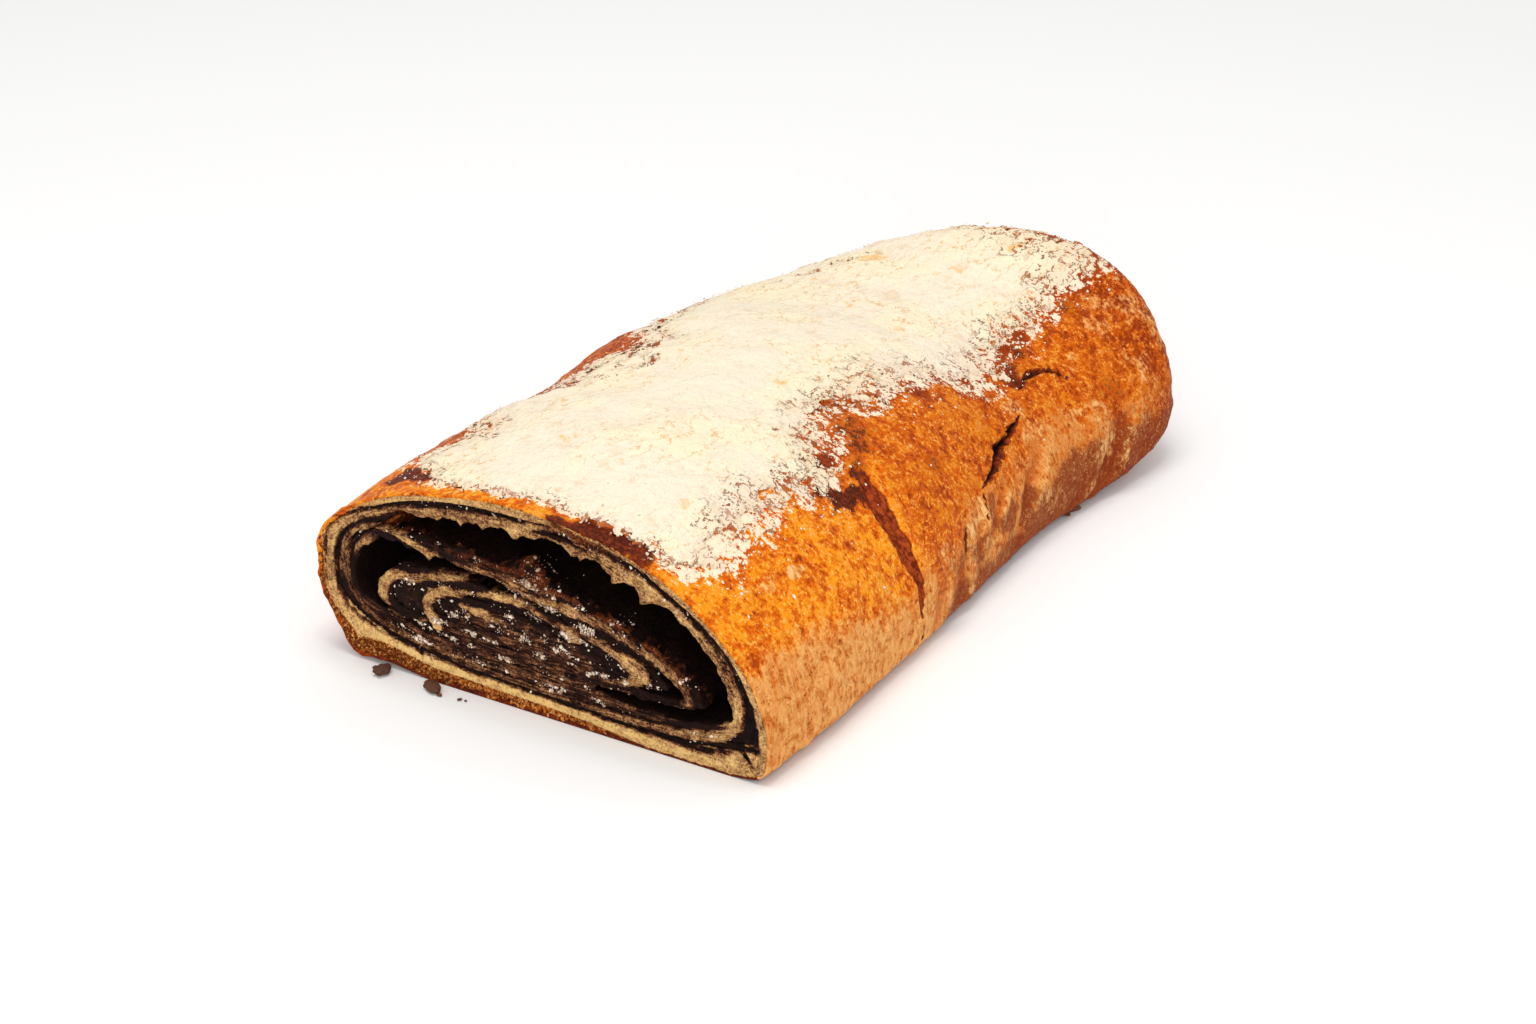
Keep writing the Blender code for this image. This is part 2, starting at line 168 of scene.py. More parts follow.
def lattice(
    name: str,
    points: Array,
    marks: dict[str, Array] | None = None,
    facing: Facing = Facing.RECALCULATED,
) -> bpy.types.Object:
    """A grid whose points are moved to their places, with meeting edges and poles merged.

    Args:
        name: the piece's name.
        points: places by row and column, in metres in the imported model's frame.
        marks: values at each point, kept as attributes for the piece's finish.
        facing: how its faces are turned outwards.

    Returns:
        The new object, smooth shaded.
    """
    rows, columns = points.shape[:2]
    deselect()
    bpy.ops.mesh.primitive_grid_add(x_subdivisions=columns - 1, y_subdivisions=rows - 1, size=1.0)
    piece = bpy.context.object
    piece.name = piece.data.name = name
    piece.data.vertices.foreach_set("co", points.astype(np.float32).ravel())
    for mark, values in (marks or {}).items():
        vector = values.ndim == 3
        kind, slot = ("FLOAT_VECTOR", "vector") if vector else ("FLOAT", "value")
        layer = piece.data.attributes.new(name=mark, type=kind, domain="POINT")
        layer.data.foreach_set(slot, values.astype(np.float32).ravel())
    bpy.ops.object.mode_set(mode="EDIT")
    bpy.ops.mesh.select_all(action="SELECT")
    bpy.ops.mesh.remove_doubles(threshold=MEETING)
    if facing is Facing.RECALCULATED:
        bpy.ops.mesh.normals_make_consistent(inside=False)
    else:
        bpy.ops.mesh.flip_normals()
    bpy.ops.object.mode_set(mode="OBJECT")
    bpy.ops.object.shade_smooth()
    return piece


def pinch(points: Array) -> None:
    """Closes both ends of a band of points, by moving each end's column to its middle."""
    for column in (0, -1):
        points[:, column] = points[:, column].mean(axis=0)


@dataclass(frozen=True)
class Grain:
    """The shape of one kind of small bit: an uneven pebble with few faces."""

    subdivisions: int = 1
    roughness: float = 0.35
    flatness: float = 0.7
    stretch: tuple = (0.7, 1.35)

    def scatter(
        self,
        name: str,
        places: Array,
        normals: Array,
        sizes: Array,
        seed: int,
        marks: dict[str, Array] | None = None,
    ) -> bpy.types.Object:
        """Copies of the pebble at many places, joined as one piece.

        Args:
            name: the piece's name.
            places: where each bit lies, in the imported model's frame.
            normals: which way each bit's flat side faces away from.
            sizes: each bit's radius.
            seed: of the random draw of turns and dents.
            marks: a value for each bit, kept as attributes of its points.

        Returns:
            The joined piece.
        """
        deselect()
        bpy.ops.mesh.primitive_ico_sphere_add(subdivisions=self.subdivisions, radius=1.0)
        pebble = bpy.context.object
        corners = np.array([vertex.co for vertex in pebble.data.vertices])
        faces = np.array([list(face.vertices) for face in pebble.data.polygons])
        bpy.data.objects.remove(pebble)
        draw = np.random.default_rng(seed)
        count = len(places)
        up = unit(normals)
        side = unit(np.cross(up, unit(draw.normal(size=(count, 3)))))
        other = np.cross(up, side)
        dents = 1 + self.roughness * draw.uniform(-1, 1, (count, len(corners)))
        reach = draw.uniform(*self.stretch, (count, 1))
        local = corners[None] * dents[..., None] * sizes[:, None, None]
        bits = (
            local[..., :1] * reach[..., None] * side[:, None]
            + local[..., 1:2] / reach[..., None] * other[:, None]
            + local[..., 2:] * self.flatness * up[:, None]
            + places[:, None]
        )
        mesh = bpy.data.meshes.new(name)
        shifted = (faces[None] + np.arange(count)[:, None, None] * len(corners)).reshape(-1, 3)
        mesh.from_pydata(bits.reshape(-1, 3).tolist(), [], shifted.tolist())
        for mark, values in (marks or {}).items():
            layer = mesh.attributes.new(name=mark, type="FLOAT", domain="POINT")
            layer.data.foreach_set("value", np.repeat(values, len(corners)).astype(np.float32))
        piece = bpy.data.objects.new(name, mesh)
        bpy.context.collection.objects.link(piece)
        deselect()
        piece.select_set(True)
        bpy.context.view_layer.objects.active = piece
        bpy.ops.object.shade_smooth()
        return piece


# ---------------------------------------------------------------- finishes


def srgb(red: int, green: int, blue: int) -> tuple[float, float, float, float]:
    """A colour in the linear values of a shader.

    Args:
        red: its red as a screen shows it, from 0 to 255.
        green: its green.
        blue: its blue.

    Returns:
        The colour, with no transparency.
    """
    linear = []
    for value in (red, green, blue):
        share = value / 255
        linear.append(share / 12.92 if share <= 0.04045 else ((share + 0.055) / 1.055) ** 2.4)
    return (*linear, 1.0)


class Socket:
    """A node's output, which adds Math nodes when it is calculated with."""

    def __init__(self, surface: "Surface", output: bpy.types.NodeSocket) -> None:
        """Keeps the output and the surface that it belongs to."""
        self.surface = surface
        self.output = output

    def math(self, operation: str, *others: object, clamp: bool = False) -> "Socket":
        """Calculates with this value.

        Args:
            operation: a Math node's operation.
            others: the other values that it takes.
            clamp: whether the result is kept between 0 and 1.

        Returns:
            The result.
        """
        values = dict(enumerate((self, *others)))
        return self.surface.node("ShaderNodeMath", {"operation": operation, "use_clamp": clamp}, values)

    def __add__(self, other: object) -> "Socket":
        """Adds a value."""
        return self.math("ADD", other)

    __radd__ = __add__

    def __mul__(self, other: object) -> "Socket":
        """Multiplies by a value."""
        return self.math("MULTIPLY", other)

    __rmul__ = __mul__

    def __sub__(self, other: object) -> "Socket":
        """Subtracts a value."""
        return self.math("SUBTRACT", other)

    def __rsub__(self, other: object) -> "Socket":
        """Is subtracted from a value."""
        settings = {"operation": "SUBTRACT"}
        return self.surface.node("ShaderNodeMath", settings, {0: other, 1: self})

    def rise(self, low: float, high: float) -> "Socket":
        """A smooth step in this value.

        Args:
            low: where the step is 0.
            high: where it is 1, which may be the smaller.

        Returns:
            The step.
        """
        values = {"Value": self, "From Min": low, "From Max": high}
        if low > high:
            values = {"Value": self, "From Min": high, "From Max": low, "To Min": 1.0, "To Max": 0.0}
        return self.surface.node("ShaderNodeMapRange", {"interpolation_type": "SMOOTHSTEP"}, values)

    def sway(self, amount: float) -> "Socket":
        """A pattern around 0.5 as one around 0, this much stronger."""
        return (self - 0.5) * amount

    def clamped(self) -> "Socket":
        """The value kept between 0 and 1."""
        return self.math("ADD", 0.0, clamp=True)


class Surface:
    """One material while its nodes are made."""

    def __init__(self, name: str) -> None:
        """Starts a material with a Principled shader.

        Args:
            name: the material's name.
        """
        self.material = bpy.data.materials.new(name)
        self.material.use_nodes = True
        self.tree = self.material.node_tree
        self.shader = self.tree.nodes["Principled BSDF"]
        self.place = self.node("ShaderNodeTexCoord", output="Object")

    def node(
        self,
        kind: str,
        settings: dict[str, object] | None = None,
        values: dict[object, object] | None = None,
        output: int | str = 0,
    ) -> Socket:
        """Adds a node.

        Args:
            kind: the node's type.
            settings: its own settings, set before its sockets.
            values: numbers, colours or links for its sockets, by name or place.
            output: which of its outputs is wanted.

        Returns:
            That output.
        """
        made = self.tree.nodes.new(kind)
        for name, value in (settings or {}).items():
            setattr(made, name, value)
        for name, value in (values or {}).items():
            self.feed(made.inputs[name], value)
        return Socket(self, made.outputs[output])

    def feed(self, entry: bpy.types.NodeSocket, value: object) -> None:
        """Links an output to a socket, or sets the socket's own value.

        Args:
            entry: the socket.
            value: an output, or a number or colour.
        """
        if isinstance(value, Socket):
            self.tree.links.new(value.output, entry)
        else:
            entry.default_value = value

    def set(self, **values: object) -> None:
        """Feeds the shader's sockets, named with underscores for spaces."""
        for name, value in values.items():
            self.feed(self.shader.inputs[name.replace("_", " ")], value)

    def mark(self, name: str, output: str = "Fac") -> Socket:
        """One of the values kept at the piece's points, or with output Vector one of the vectors."""
        return self.node("ShaderNodeAttribute", {"attribute_name": name}, output=output)

    def scaled(self, place: Socket, factors: Sequence[float]) -> Socket:
        """A place with each of its numbers multiplied, to stretch a pattern."""
        return self.node("ShaderNodeVectorMath", {"operation": "MULTIPLY"}, {0: place, 1: factors})

    def mottle(
        self, size: float, detail: float = 2.0, roughness: float = 0.5, place: Socket | None = None
    ) -> Socket:
        """Soft random patches.

        Args:
            size: about how large they are.
            detail: how many finer patches are added.
            roughness: how strong the finer ones are.
            place: the place that the pattern reads, if not the piece's own.

        Returns:
            Values around 0.5.
        """
        values = {"Vector": place or self.place, "Scale": 1 / size}
        values.update({"Detail": detail, "Roughness": roughness})
        return self.node("ShaderNodeTexNoise", {}, values)

    def mix(self, factor: object, first: object, second: object) -> Socket:
        """Two colours mixed."""
        settings = {"data_type": "RGBA", "blend_type": "MIX"}
        return self.node("ShaderNodeMix", settings, {0: factor, 6: first, 7: second}, output=2)

    def ramp(self, value: Socket, stops: Sequence[tuple]) -> Socket:
        """A colour that follows a value.

        Args:
            value: the value.
            stops: pairs of a value and its colour, in rising order.

        Returns:
            The colour.
        """
        colours = self.node("ShaderNodeValToRGB", {}, {"Fac": value})
        elements = colours.output.node.color_ramp.elements
        elements[0].position, elements[0].color = stops[0]
        elements[1].position, elements[1].color = stops[-1]
        for place, colour in stops[1:-1]:
            elements.new(place).color = colour
        return colours

    def bumped(self, height: Socket, depth: float, strength: float = 1.0) -> Socket:
        """A normal that follows a height, this deep where the height goes from 0 to 1."""
        values = {"Height": height, "Distance": depth, "Strength": strength}
        return self.node("ShaderNodeBump", {}, values)

    def finished(
        self, colour: Socket, roughness: object, normal: Socket, shine: float
    ) -> bpy.types.Material:
        """Feeds the shader, and returns the material."""
        self.set(Base_Color=colour, Roughness=roughness, Normal=normal, Specular_IOR_Level=shine)
        return self.material


@dataclass(frozen=True)
class Grains:
    """The random patterns that a baked finish is made of, from coarse to fine."""

    patches: Socket
    blotches: Socket
    specks: Socket
    fine: Socket
    streaks: Socket


@dataclass(frozen=True)
class Crust:
    """Egg-glazed baked dough: orange above, tan and streaked below, with dark patches, painted shade and
    painted highlights.
    """

    orange: tuple = srgb(214, 96, 0)
    bright: tuple = srgb(244, 148, 18)
    # pale: washed-out glaze, also painted highlights on the folds' ridges and, on the tan, in small flecks
    pale: tuple = srgb(250, 198, 128)
    tan: tuple = srgb(204, 114, 36)
    light_tan: tuple = srgb(240, 176, 100)
    dark_tan: tuple = srgb(150, 74, 24)
    # russet: the glaze's own darker patches, also painted shade in the folds' creases and low on the sides
    russet: tuple = srgb(140, 46, 3)
    deep: tuple = srgb(206, 88, 4)
    # painted shade: a muted brown low on the sides, in the folds and low at the far end
    painted_shade: tuple = srgb(130, 48, 18)
    # painted glints: small pale highlights on the glaze
    painted_glint: tuple = srgb(254, 190, 92)
    burnt: tuple = srgb(54, 14, 8)
    scorched: tuple = srgb(120, 40, 12)
    tear: tuple = srgb(176, 74, 26)
    seared: tuple = srgb(108, 34, 12)
    # painted shade in the depth of the tears
    black: tuple = srgb(30, 8, 5)
    sugar: tuple = srgb(250, 234, 206)
    roughness: float = 0.42
    shine: float = 0.07
    relief: float = 1.0 * MM

    def glazed(self, s: Surface, g: Grains) -> Socket:
        """The orange of the egg glaze, brighter and russet in patches.

        Args:
            s: the material being made.
            g: its patterns.

        Returns:
            The colour.
        """
        tone = g.blotches * 0.40 + g.specks * 0.32 + g.patches * 0.28 - s.mark("russet") * 0.07
        glaze = s.mix(tone.rise(0.44, 0.555), self.orange, self.bright)
        return s.mix(tone.rise(0.45, 0.37) * 0.75, glaze, self.russet)

    def plain(self, s: Surface, g: Grains) -> Socket:
        """The tan of the crust low on the sides, where no glaze ran.

        Args:
            s: the material being made.
            g: its patterns.

        Returns:
            The colour.
        """
        light = (g.streaks * 0.35 + g.specks * 0.25 + g.blotches * 0.40).rise(0.37, 0.60)
        plain = s.mix(light, self.tan, self.light_tan)
        orange = g.patches.rise(0.42, 0.62) * (s.mark("russet") * 0.75 + 0.14)
        plain = s.mix(orange, plain, self.orange)
        dark = (g.streaks * 0.30 + g.fine * 0.3 + g.blotches * 0.4).rise(0.44, 0.36)
        return s.mix(dark * 0.5, plain, self.dark_tan)

    def burned(self, s: Surface, g: Grains, colour: Socket) -> Socket:
        """The crust with its burnt patches, each in a russet fringe.

        Args:
            s: the material being made.
            g: its patterns.
            colour: the crust's colour so far.

        Returns:
            The colour.
        """
        burnt = s.mark("burnt") * 0.95 + g.blotches.sway(1.1) + g.specks.sway(1.5) + g.fine.sway(0.7)
        scorched = s.mix((g.specks * 0.5 + g.fine * 0.5).rise(0.44, 0.60), self.burnt, self.scorched)
        colour = s.mix(burnt.rise(0.26, 0.58) * 0.55, colour, self.russet)
        return s.mix(burnt.rise(0.40, 0.72) * 0.95, colour, scorched)

    def torn(self, s: Surface, g: Grains, colour: Socket) -> Socket:
        """The crust with the red-brown inside of its tears, and black painted shade where they are deep and
        along one edge.

        Args:
            s: the material being made.
            g: its patterns.
            colour: the crust's colour so far.

        Returns:
            The colour.
        """
        torn = s.mark("tear")
        inside = s.mix((g.streaks * 0.5 + g.specks * 0.5).rise(0.42, 0.58), self.seared, self.tear)
        inside = s.mix(torn.rise(0.85, 0.35) * 0.8, inside, self.seared)
        # painted shade: black where a tear is deep and along one edge
        inside = s.mix(s.mark("deep"), inside, self.black)
        return s.mix((torn + g.fine.sway(0.25)).rise(0.25, 0.55), colour, inside)

    def material(self) -> bpy.types.Material:
        """Makes the finish.

        Returns:
            The crust's material.
        """
        s = Surface("baked_crust")
        g = Grains(
            patches=s.mottle(8 * MM, 3.0, 0.55),
            blotches=s.mottle(2.8 * MM, 3.0, 0.6),
            specks=s.mottle(1.1 * MM, 3.0, 0.65),
            fine=s.mottle(0.5 * MM, 2.0, 0.65),
            streaks=s.mottle(1.0, 3.0, 0.6, s.scaled(s.place, (420.0, 900.0, 300.0))),
        )
        glaze, plain = self.glazed(s, g), self.plain(s, g)
        low = s.mark("tan") + g.patches.sway(1.1) + g.blotches.sway(1.1) + g.specks.sway(0.6)
        low = low.rise(0.14, 0.94)
        colour = s.mix(low, glaze, plain)
        # the russet mark also carries painted shade in the folds' creases and low on the sides
        deeper = s.mix((g.blotches * 0.5 + g.specks * 0.5).rise(0.42, 0.60), self.russet, self.deep)
        russet = (s.mark("russet") + g.blotches.sway(0.9) + g.specks.sway(0.6)).rise(0.15, 0.95)
        colour = s.mix(russet * 0.75, colour, deeper)
        # painted shade: a muted brown low on the sides and along the folds
        painted_shade = (s.mark("painted_shade") + g.blotches.sway(0.7) + g.streaks.sway(0.9)).rise(0.25, 0.85)
        colour = s.mix(painted_shade * 0.82, colour, self.painted_shade)
        # painted highlights: small pale flecks at random, fewer on the tan and russet crust
        flecks = (g.specks * 0.5 + g.fine * 0.5).rise(0.535, 0.60) * g.blotches.rise(0.34, 0.56)
        flecks = flecks * (0.95 - low * 0.40 - russet * 0.35)
        colour = s.mix(flecks, colour, s.mix(low, self.painted_glint, self.pale))
        # the pale mark: washed-out glaze, and painted highlights on the folds' ridges
        washed = (s.mark("pale") + g.blotches.sway(1.1) + g.specks.sway(1.0)).rise(0.30, 0.80)
        colour = s.mix(washed * 0.8, colour, s.mix(g.streaks.rise(0.38, 0.60), self.tan, self.pale))
        colour = self.burned(s, g, colour)
        pin = (g.fine * 0.6 + g.specks * 0.4).rise(0.44, 0.35) * g.blotches.rise(0.66, 0.42) * 0.85
        colour = self.torn(s, g, s.mix(pin, colour, self.seared))
        dust = s.mark("dust") + g.fine.sway(0.4) + g.specks.sway(1.4) + g.blotches.sway(1.2)
        dusted = dust.rise(0.46, 0.62) * (1 - s.mark("deep"))
        colour = s.mix(dusted * 0.92, colour, self.sugar)
        gloss = self.roughness + g.blotches * 0.2 + low * 0.14 + dusted * 0.3
        height = g.blotches * 0.8 + g.specks * 0.45 + g.fine * 0.18 + g.streaks * (0.16 + low * 0.22)
        return s.finished(colour, gloss.clamped(), s.bumped(height, self.relief), self.shine)


@dataclass(frozen=True)
class CutFace:
    """The cut and the hollows: near-black chocolate, grey-brown smears, porous beige dough, and painted
    light at the left end of the large hollow.
    """

    name: str
    gloss: float
    # lightness, and the colour of the cut there
    stops: tuple = (
        (0.0, srgb(14, 6, 4)), (0.12, srgb(42, 19, 12)), (0.24, srgb(78, 43, 28)),
        (0.38, srgb(118, 74, 46)), (0.52, srgb(160, 114, 72)), (0.68, srgb(198, 150, 96)),
        (0.84, srgb(222, 176, 110)), (1.0, srgb(244, 204, 132)),
    )
    red: tuple = srgb(112, 46, 18)
    rusty: tuple = srgb(176, 96, 50)
    crust: tuple = srgb(206, 116, 38)
    grain: tuple = srgb(252, 200, 130)
    burnt: tuple = srgb(96, 42, 14)
    # painted light: the red-orange of the lit left end of the large hollow
    painted_light: tuple = srgb(238, 132, 62)
    shine: float = 0.09
    relief: float = 0.9 * MM

    def material(self) -> bpy.types.Material:
        """Makes the finish.

        Returns:
            The cut's material.
        """
        s = Surface(self.name)
        along = s.mottle(1.0, 4.0, 0.68, s.scaled(s.mark("roll", "Vector"), (170.0, 1300.0, 420.0)))
        clots = s.mottle(2.4 * MM, 3.0, 0.6)
        crumbs = s.mottle(0.85 * MM, 3.0, 0.7)
        fine = s.mottle(0.38 * MM, 2.0, 0.65)
        light, red, crust = s.mark("light"), s.mark("red"), s.mark("crust")
        uneven = clots.sway(0.7) + crumbs.rise(0.36, 0.64).sway(0.22) + fine.rise(0.38, 0.62).sway(0.24)
        streaks = (along.rise(0.36, 0.66) - 0.45) * (light.rise(0.04, 0.2) * 0.36 + 0.03)
        shade = light + uneven * (light.rise(-0.04, 0.4) * 0.9 + 0.1) + streaks * (1.25 - light)
        colour = s.ramp(shade.clamped(), self.stops)
        pores = (crumbs * 0.55 + fine * 0.45).rise(0.43, 0.34) * light.rise(0.3, 0.6)
        colour = s.mix(pores * 0.42, colour, self.stops[2][1])
        # the red mark holds real rust on the cut and in crumbs, and painted light at the large hollow's
        # left end, which takes these rust colours and, above 1, the red-orange
        rust = s.mix(crumbs.rise(0.44, 0.66), self.red, self.rusty)
        rust = s.mix(fine.rise(0.56, 0.40) * 0.8, rust, self.stops[0][1])
        rust = s.mix(red.rise(1.0, 1.7) * crumbs.rise(0.30, 0.50), rust, self.painted_light)
        rust_and_light = (red + clots.sway(0.9) * red.rise(0.0, 0.2)).rise(0.35, 0.85)
        colour = s.mix(rust_and_light * 0.85, colour, rust)
        brown = s.mix(crumbs.rise(0.40, 0.58), self.burnt, self.crust)
        brown = s.mix((fine * 0.6 + crumbs * 0.4).rise(0.54, 0.62) * 0.9, brown, self.grain)
        brown = s.mix(crust.rise(1.0, 1.6) * crumbs.rise(0.66, 0.44) * 0.85, brown, self.burnt)
        colour = s.mix((crust + crumbs.sway(0.5)).rise(0.4, 0.6), colour, brown)
        height = crumbs * 0.7 + fine * 0.35 + clots * 0.5 + along * 0.15
        rough = self.gloss + light * 0.3 + clots * 0.2
        return s.finished(colour, rough.clamped(), s.bumped(height, self.relief), self.shine)


@dataclass(frozen=True)
class Sugar:
    """Icing sugar: a soft creamy white, yellower where it is thick and has drawn up fat, with beige painted
    shade in its creases.
    """

    white: tuple = srgb(243, 229, 207)
    cream: tuple = srgb(245, 232, 200)
    pink: tuple = srgb(234, 203, 170)
    yellow: tuple = srgb(220, 160, 88)
    stained: tuple = srgb(238, 184, 104)
    # painted shade in the sugar's creases
    beige: tuple = srgb(226, 192, 150)
    through: tuple = srgb(186, 92, 30)
    dark: tuple = srgb(138, 54, 24)
    roughness: float = 0.95
    shine: float = 0.10
    relief: float = 1.2 * MM

    def material(self) -> bpy.types.Material:
        """Makes the finish.

        Returns:
            The sugar's material.
        """
        s = Surface("white_sugar")
        clouds = s.mottle(20 * MM, 2.0, 0.5)
        wisps = s.mottle(6 * MM, 4.0, 0.62, s.scaled(s.place, (1.0, 0.5, 1.0)))
        crackle = s.mottle(4.6 * MM, 3.0, 0.62)
        powder = s.mottle(1.5 * MM, 3.0, 0.65)
        fine = s.mottle(0.5 * MM, 2.0, 0.6)
        thin, gap = s.mark("thin"), s.mark("gap")
        colour = s.mix((clouds * 0.6 + wisps * 0.4).rise(0.42, 0.60), self.white, self.cream)
        colour = s.mix((thin + powder.sway(0.8)).rise(0.2, 1.1) * 0.8, colour, self.pink)
        # painted shade: beige where the bump's relief is low, in the creases
        hollow = (wisps * 0.50 + powder * 0.25 + crackle * 0.25).rise(0.475, 0.37)
        colour = s.mix(hollow * 0.46, colour, self.beige)
        vein = (wisps - 0.5).math("ABSOLUTE").rise(0.028, 0.0)
        vein = vein * (powder.rise(0.42, 0.6) * clouds.rise(0.36, 0.56))
        colour = s.mix(vein * 0.75, colour, self.yellow)
        stain = s.mark("stain") * (wisps.sway(3.0) + powder.sway(2.4) + 0.4)
        colour = s.mix(stain.rise(0.05, 0.85) * 0.8, colour, self.stained)
        lines = (crackle - 0.5).math("ABSOLUTE").rise(0.034, 0.010)
        lines = lines * (thin + wisps.sway(1.3)).rise(0.16, 0.62)
        lines = lines * (powder * 0.7 + fine * 0.3).rise(0.45, 0.53)
        flecks = (powder * 0.8 + fine * 0.2).rise(0.365, 0.335)
        flecks = flecks * (thin + wisps.sway(1.8)).rise(0.16, 0.6)
        marked = (lines + flecks).clamped()
        shown = s.mix((powder + (thin - 0.6) * 0.5).rise(0.42, 0.62), self.dark, self.through)
        colour = s.mix(marked * 0.85, colour, shown)
        bare = thin + gap + powder.sway(0.9) + crackle.sway(2.6)
        colour = s.mix(bare.rise(0.92, 1.02) * 0.95, colour, shown)
        height = powder * 0.5 + fine * 0.2 + wisps * 1.1 + crackle * 0.7 - marked * 0.3
        return s.finished(colour, self.roughness, s.bumped(height, self.relief), self.shine)


@dataclass(frozen=True)
class Bits:
    """Loose bits: crumbs of baked dough, chocolate and sugar, told apart by their own value."""

    name: str
    dark: tuple
    light: tuple
    roughness: float = 0.85

    def material(self) -> bpy.types.Material:
        """Makes the finish.

        Returns:
            The bits' material.
        """
        s = Surface(self.name)
        grain = s.mottle(0.6 * MM, 2.0, 0.6)
        kind = (s.mark("kind") + grain.sway(0.5)).clamped()
        colour = s.mix(kind, self.dark, self.light)
        s.set(Base_Color=colour, Roughness=self.roughness, Normal=s.bumped(grain, 0.3 * MM, 0.6))
        return s.material


@dataclass(frozen=True)
class Paper:
    """The plain pale floor."""

    white: tuple = (0.93, 0.93, 0.93, 1.0)

    def material(self) -> bpy.types.Material:
        """Makes the finish.

        Returns:
            The floor's material.
        """
        s = Surface("pale_floor")
        s.set(Base_Color=self.white, Roughness=0.9, Specular_IOR_Level=0.1)
        return s.material


# ---------------------------------------------------------------- the loaf's outside


@dataclass(frozen=True)
class Section:
    """The loaf's cross-section at each of several distances from the cut, before any relief."""

    left: Array
    right: Array
    height: Array
    crest_x: Array
    left_side: Array
    right_side: Array
    base: Array


@dataclass(frozen=True)
class Skin:
    """Places on the loaf's outside, before its relief."""

    angle: Array  # round the loaf, in radians
    y: Array  # distance from the cut
    arc: Array  # distance round the loaf, from the right side's widest line
    bare: Array  # the places
    out: Array  # the directions that they face

    @property
    def degrees(self) -> Array:
        """Their angles in degrees."""
        return np.degrees(self.angle)

    @property
    def height(self) -> Array:
        """Their heights above the floor."""
        return self.bare[..., 2]


@dataclass(frozen=True)
class Tear:
    """A split in the crust, along points of (angle in degrees, distance from the cut).

    These lengths, and those of folds and spots, are in millimetres.
    """

    path: tuple
    width: float
    depth: float
    darkness: float  # 0 shows its red-brown inside, 1 paints black shade in its depth
    raggedness: float
    widest: float = 0.5  # share of the way along it


@dataclass(frozen=True)
class Fold:
    """A soft crease that runs up the side, at an angle and a distance from the cut."""

    angle: float
    y: float
    reach: float  # half its length up the side, in degrees
    width: float
    depth: float
    lean: float  # distance along the loaf for each degree up


@dataclass(frozen=True)
class Spot:
    """A patch of colour on the crust, at an angle and a distance from the cut."""

    angle: float
    y: float
    wide: float  # half its width along the loaf
    high: float  # half its height round the loaf
    strength: float


def spots(*rows: tuple) -> tuple[Spot, ...]:
    """Spots from rows of their numbers."""
    return tuple(Spot(*row) for row in rows)


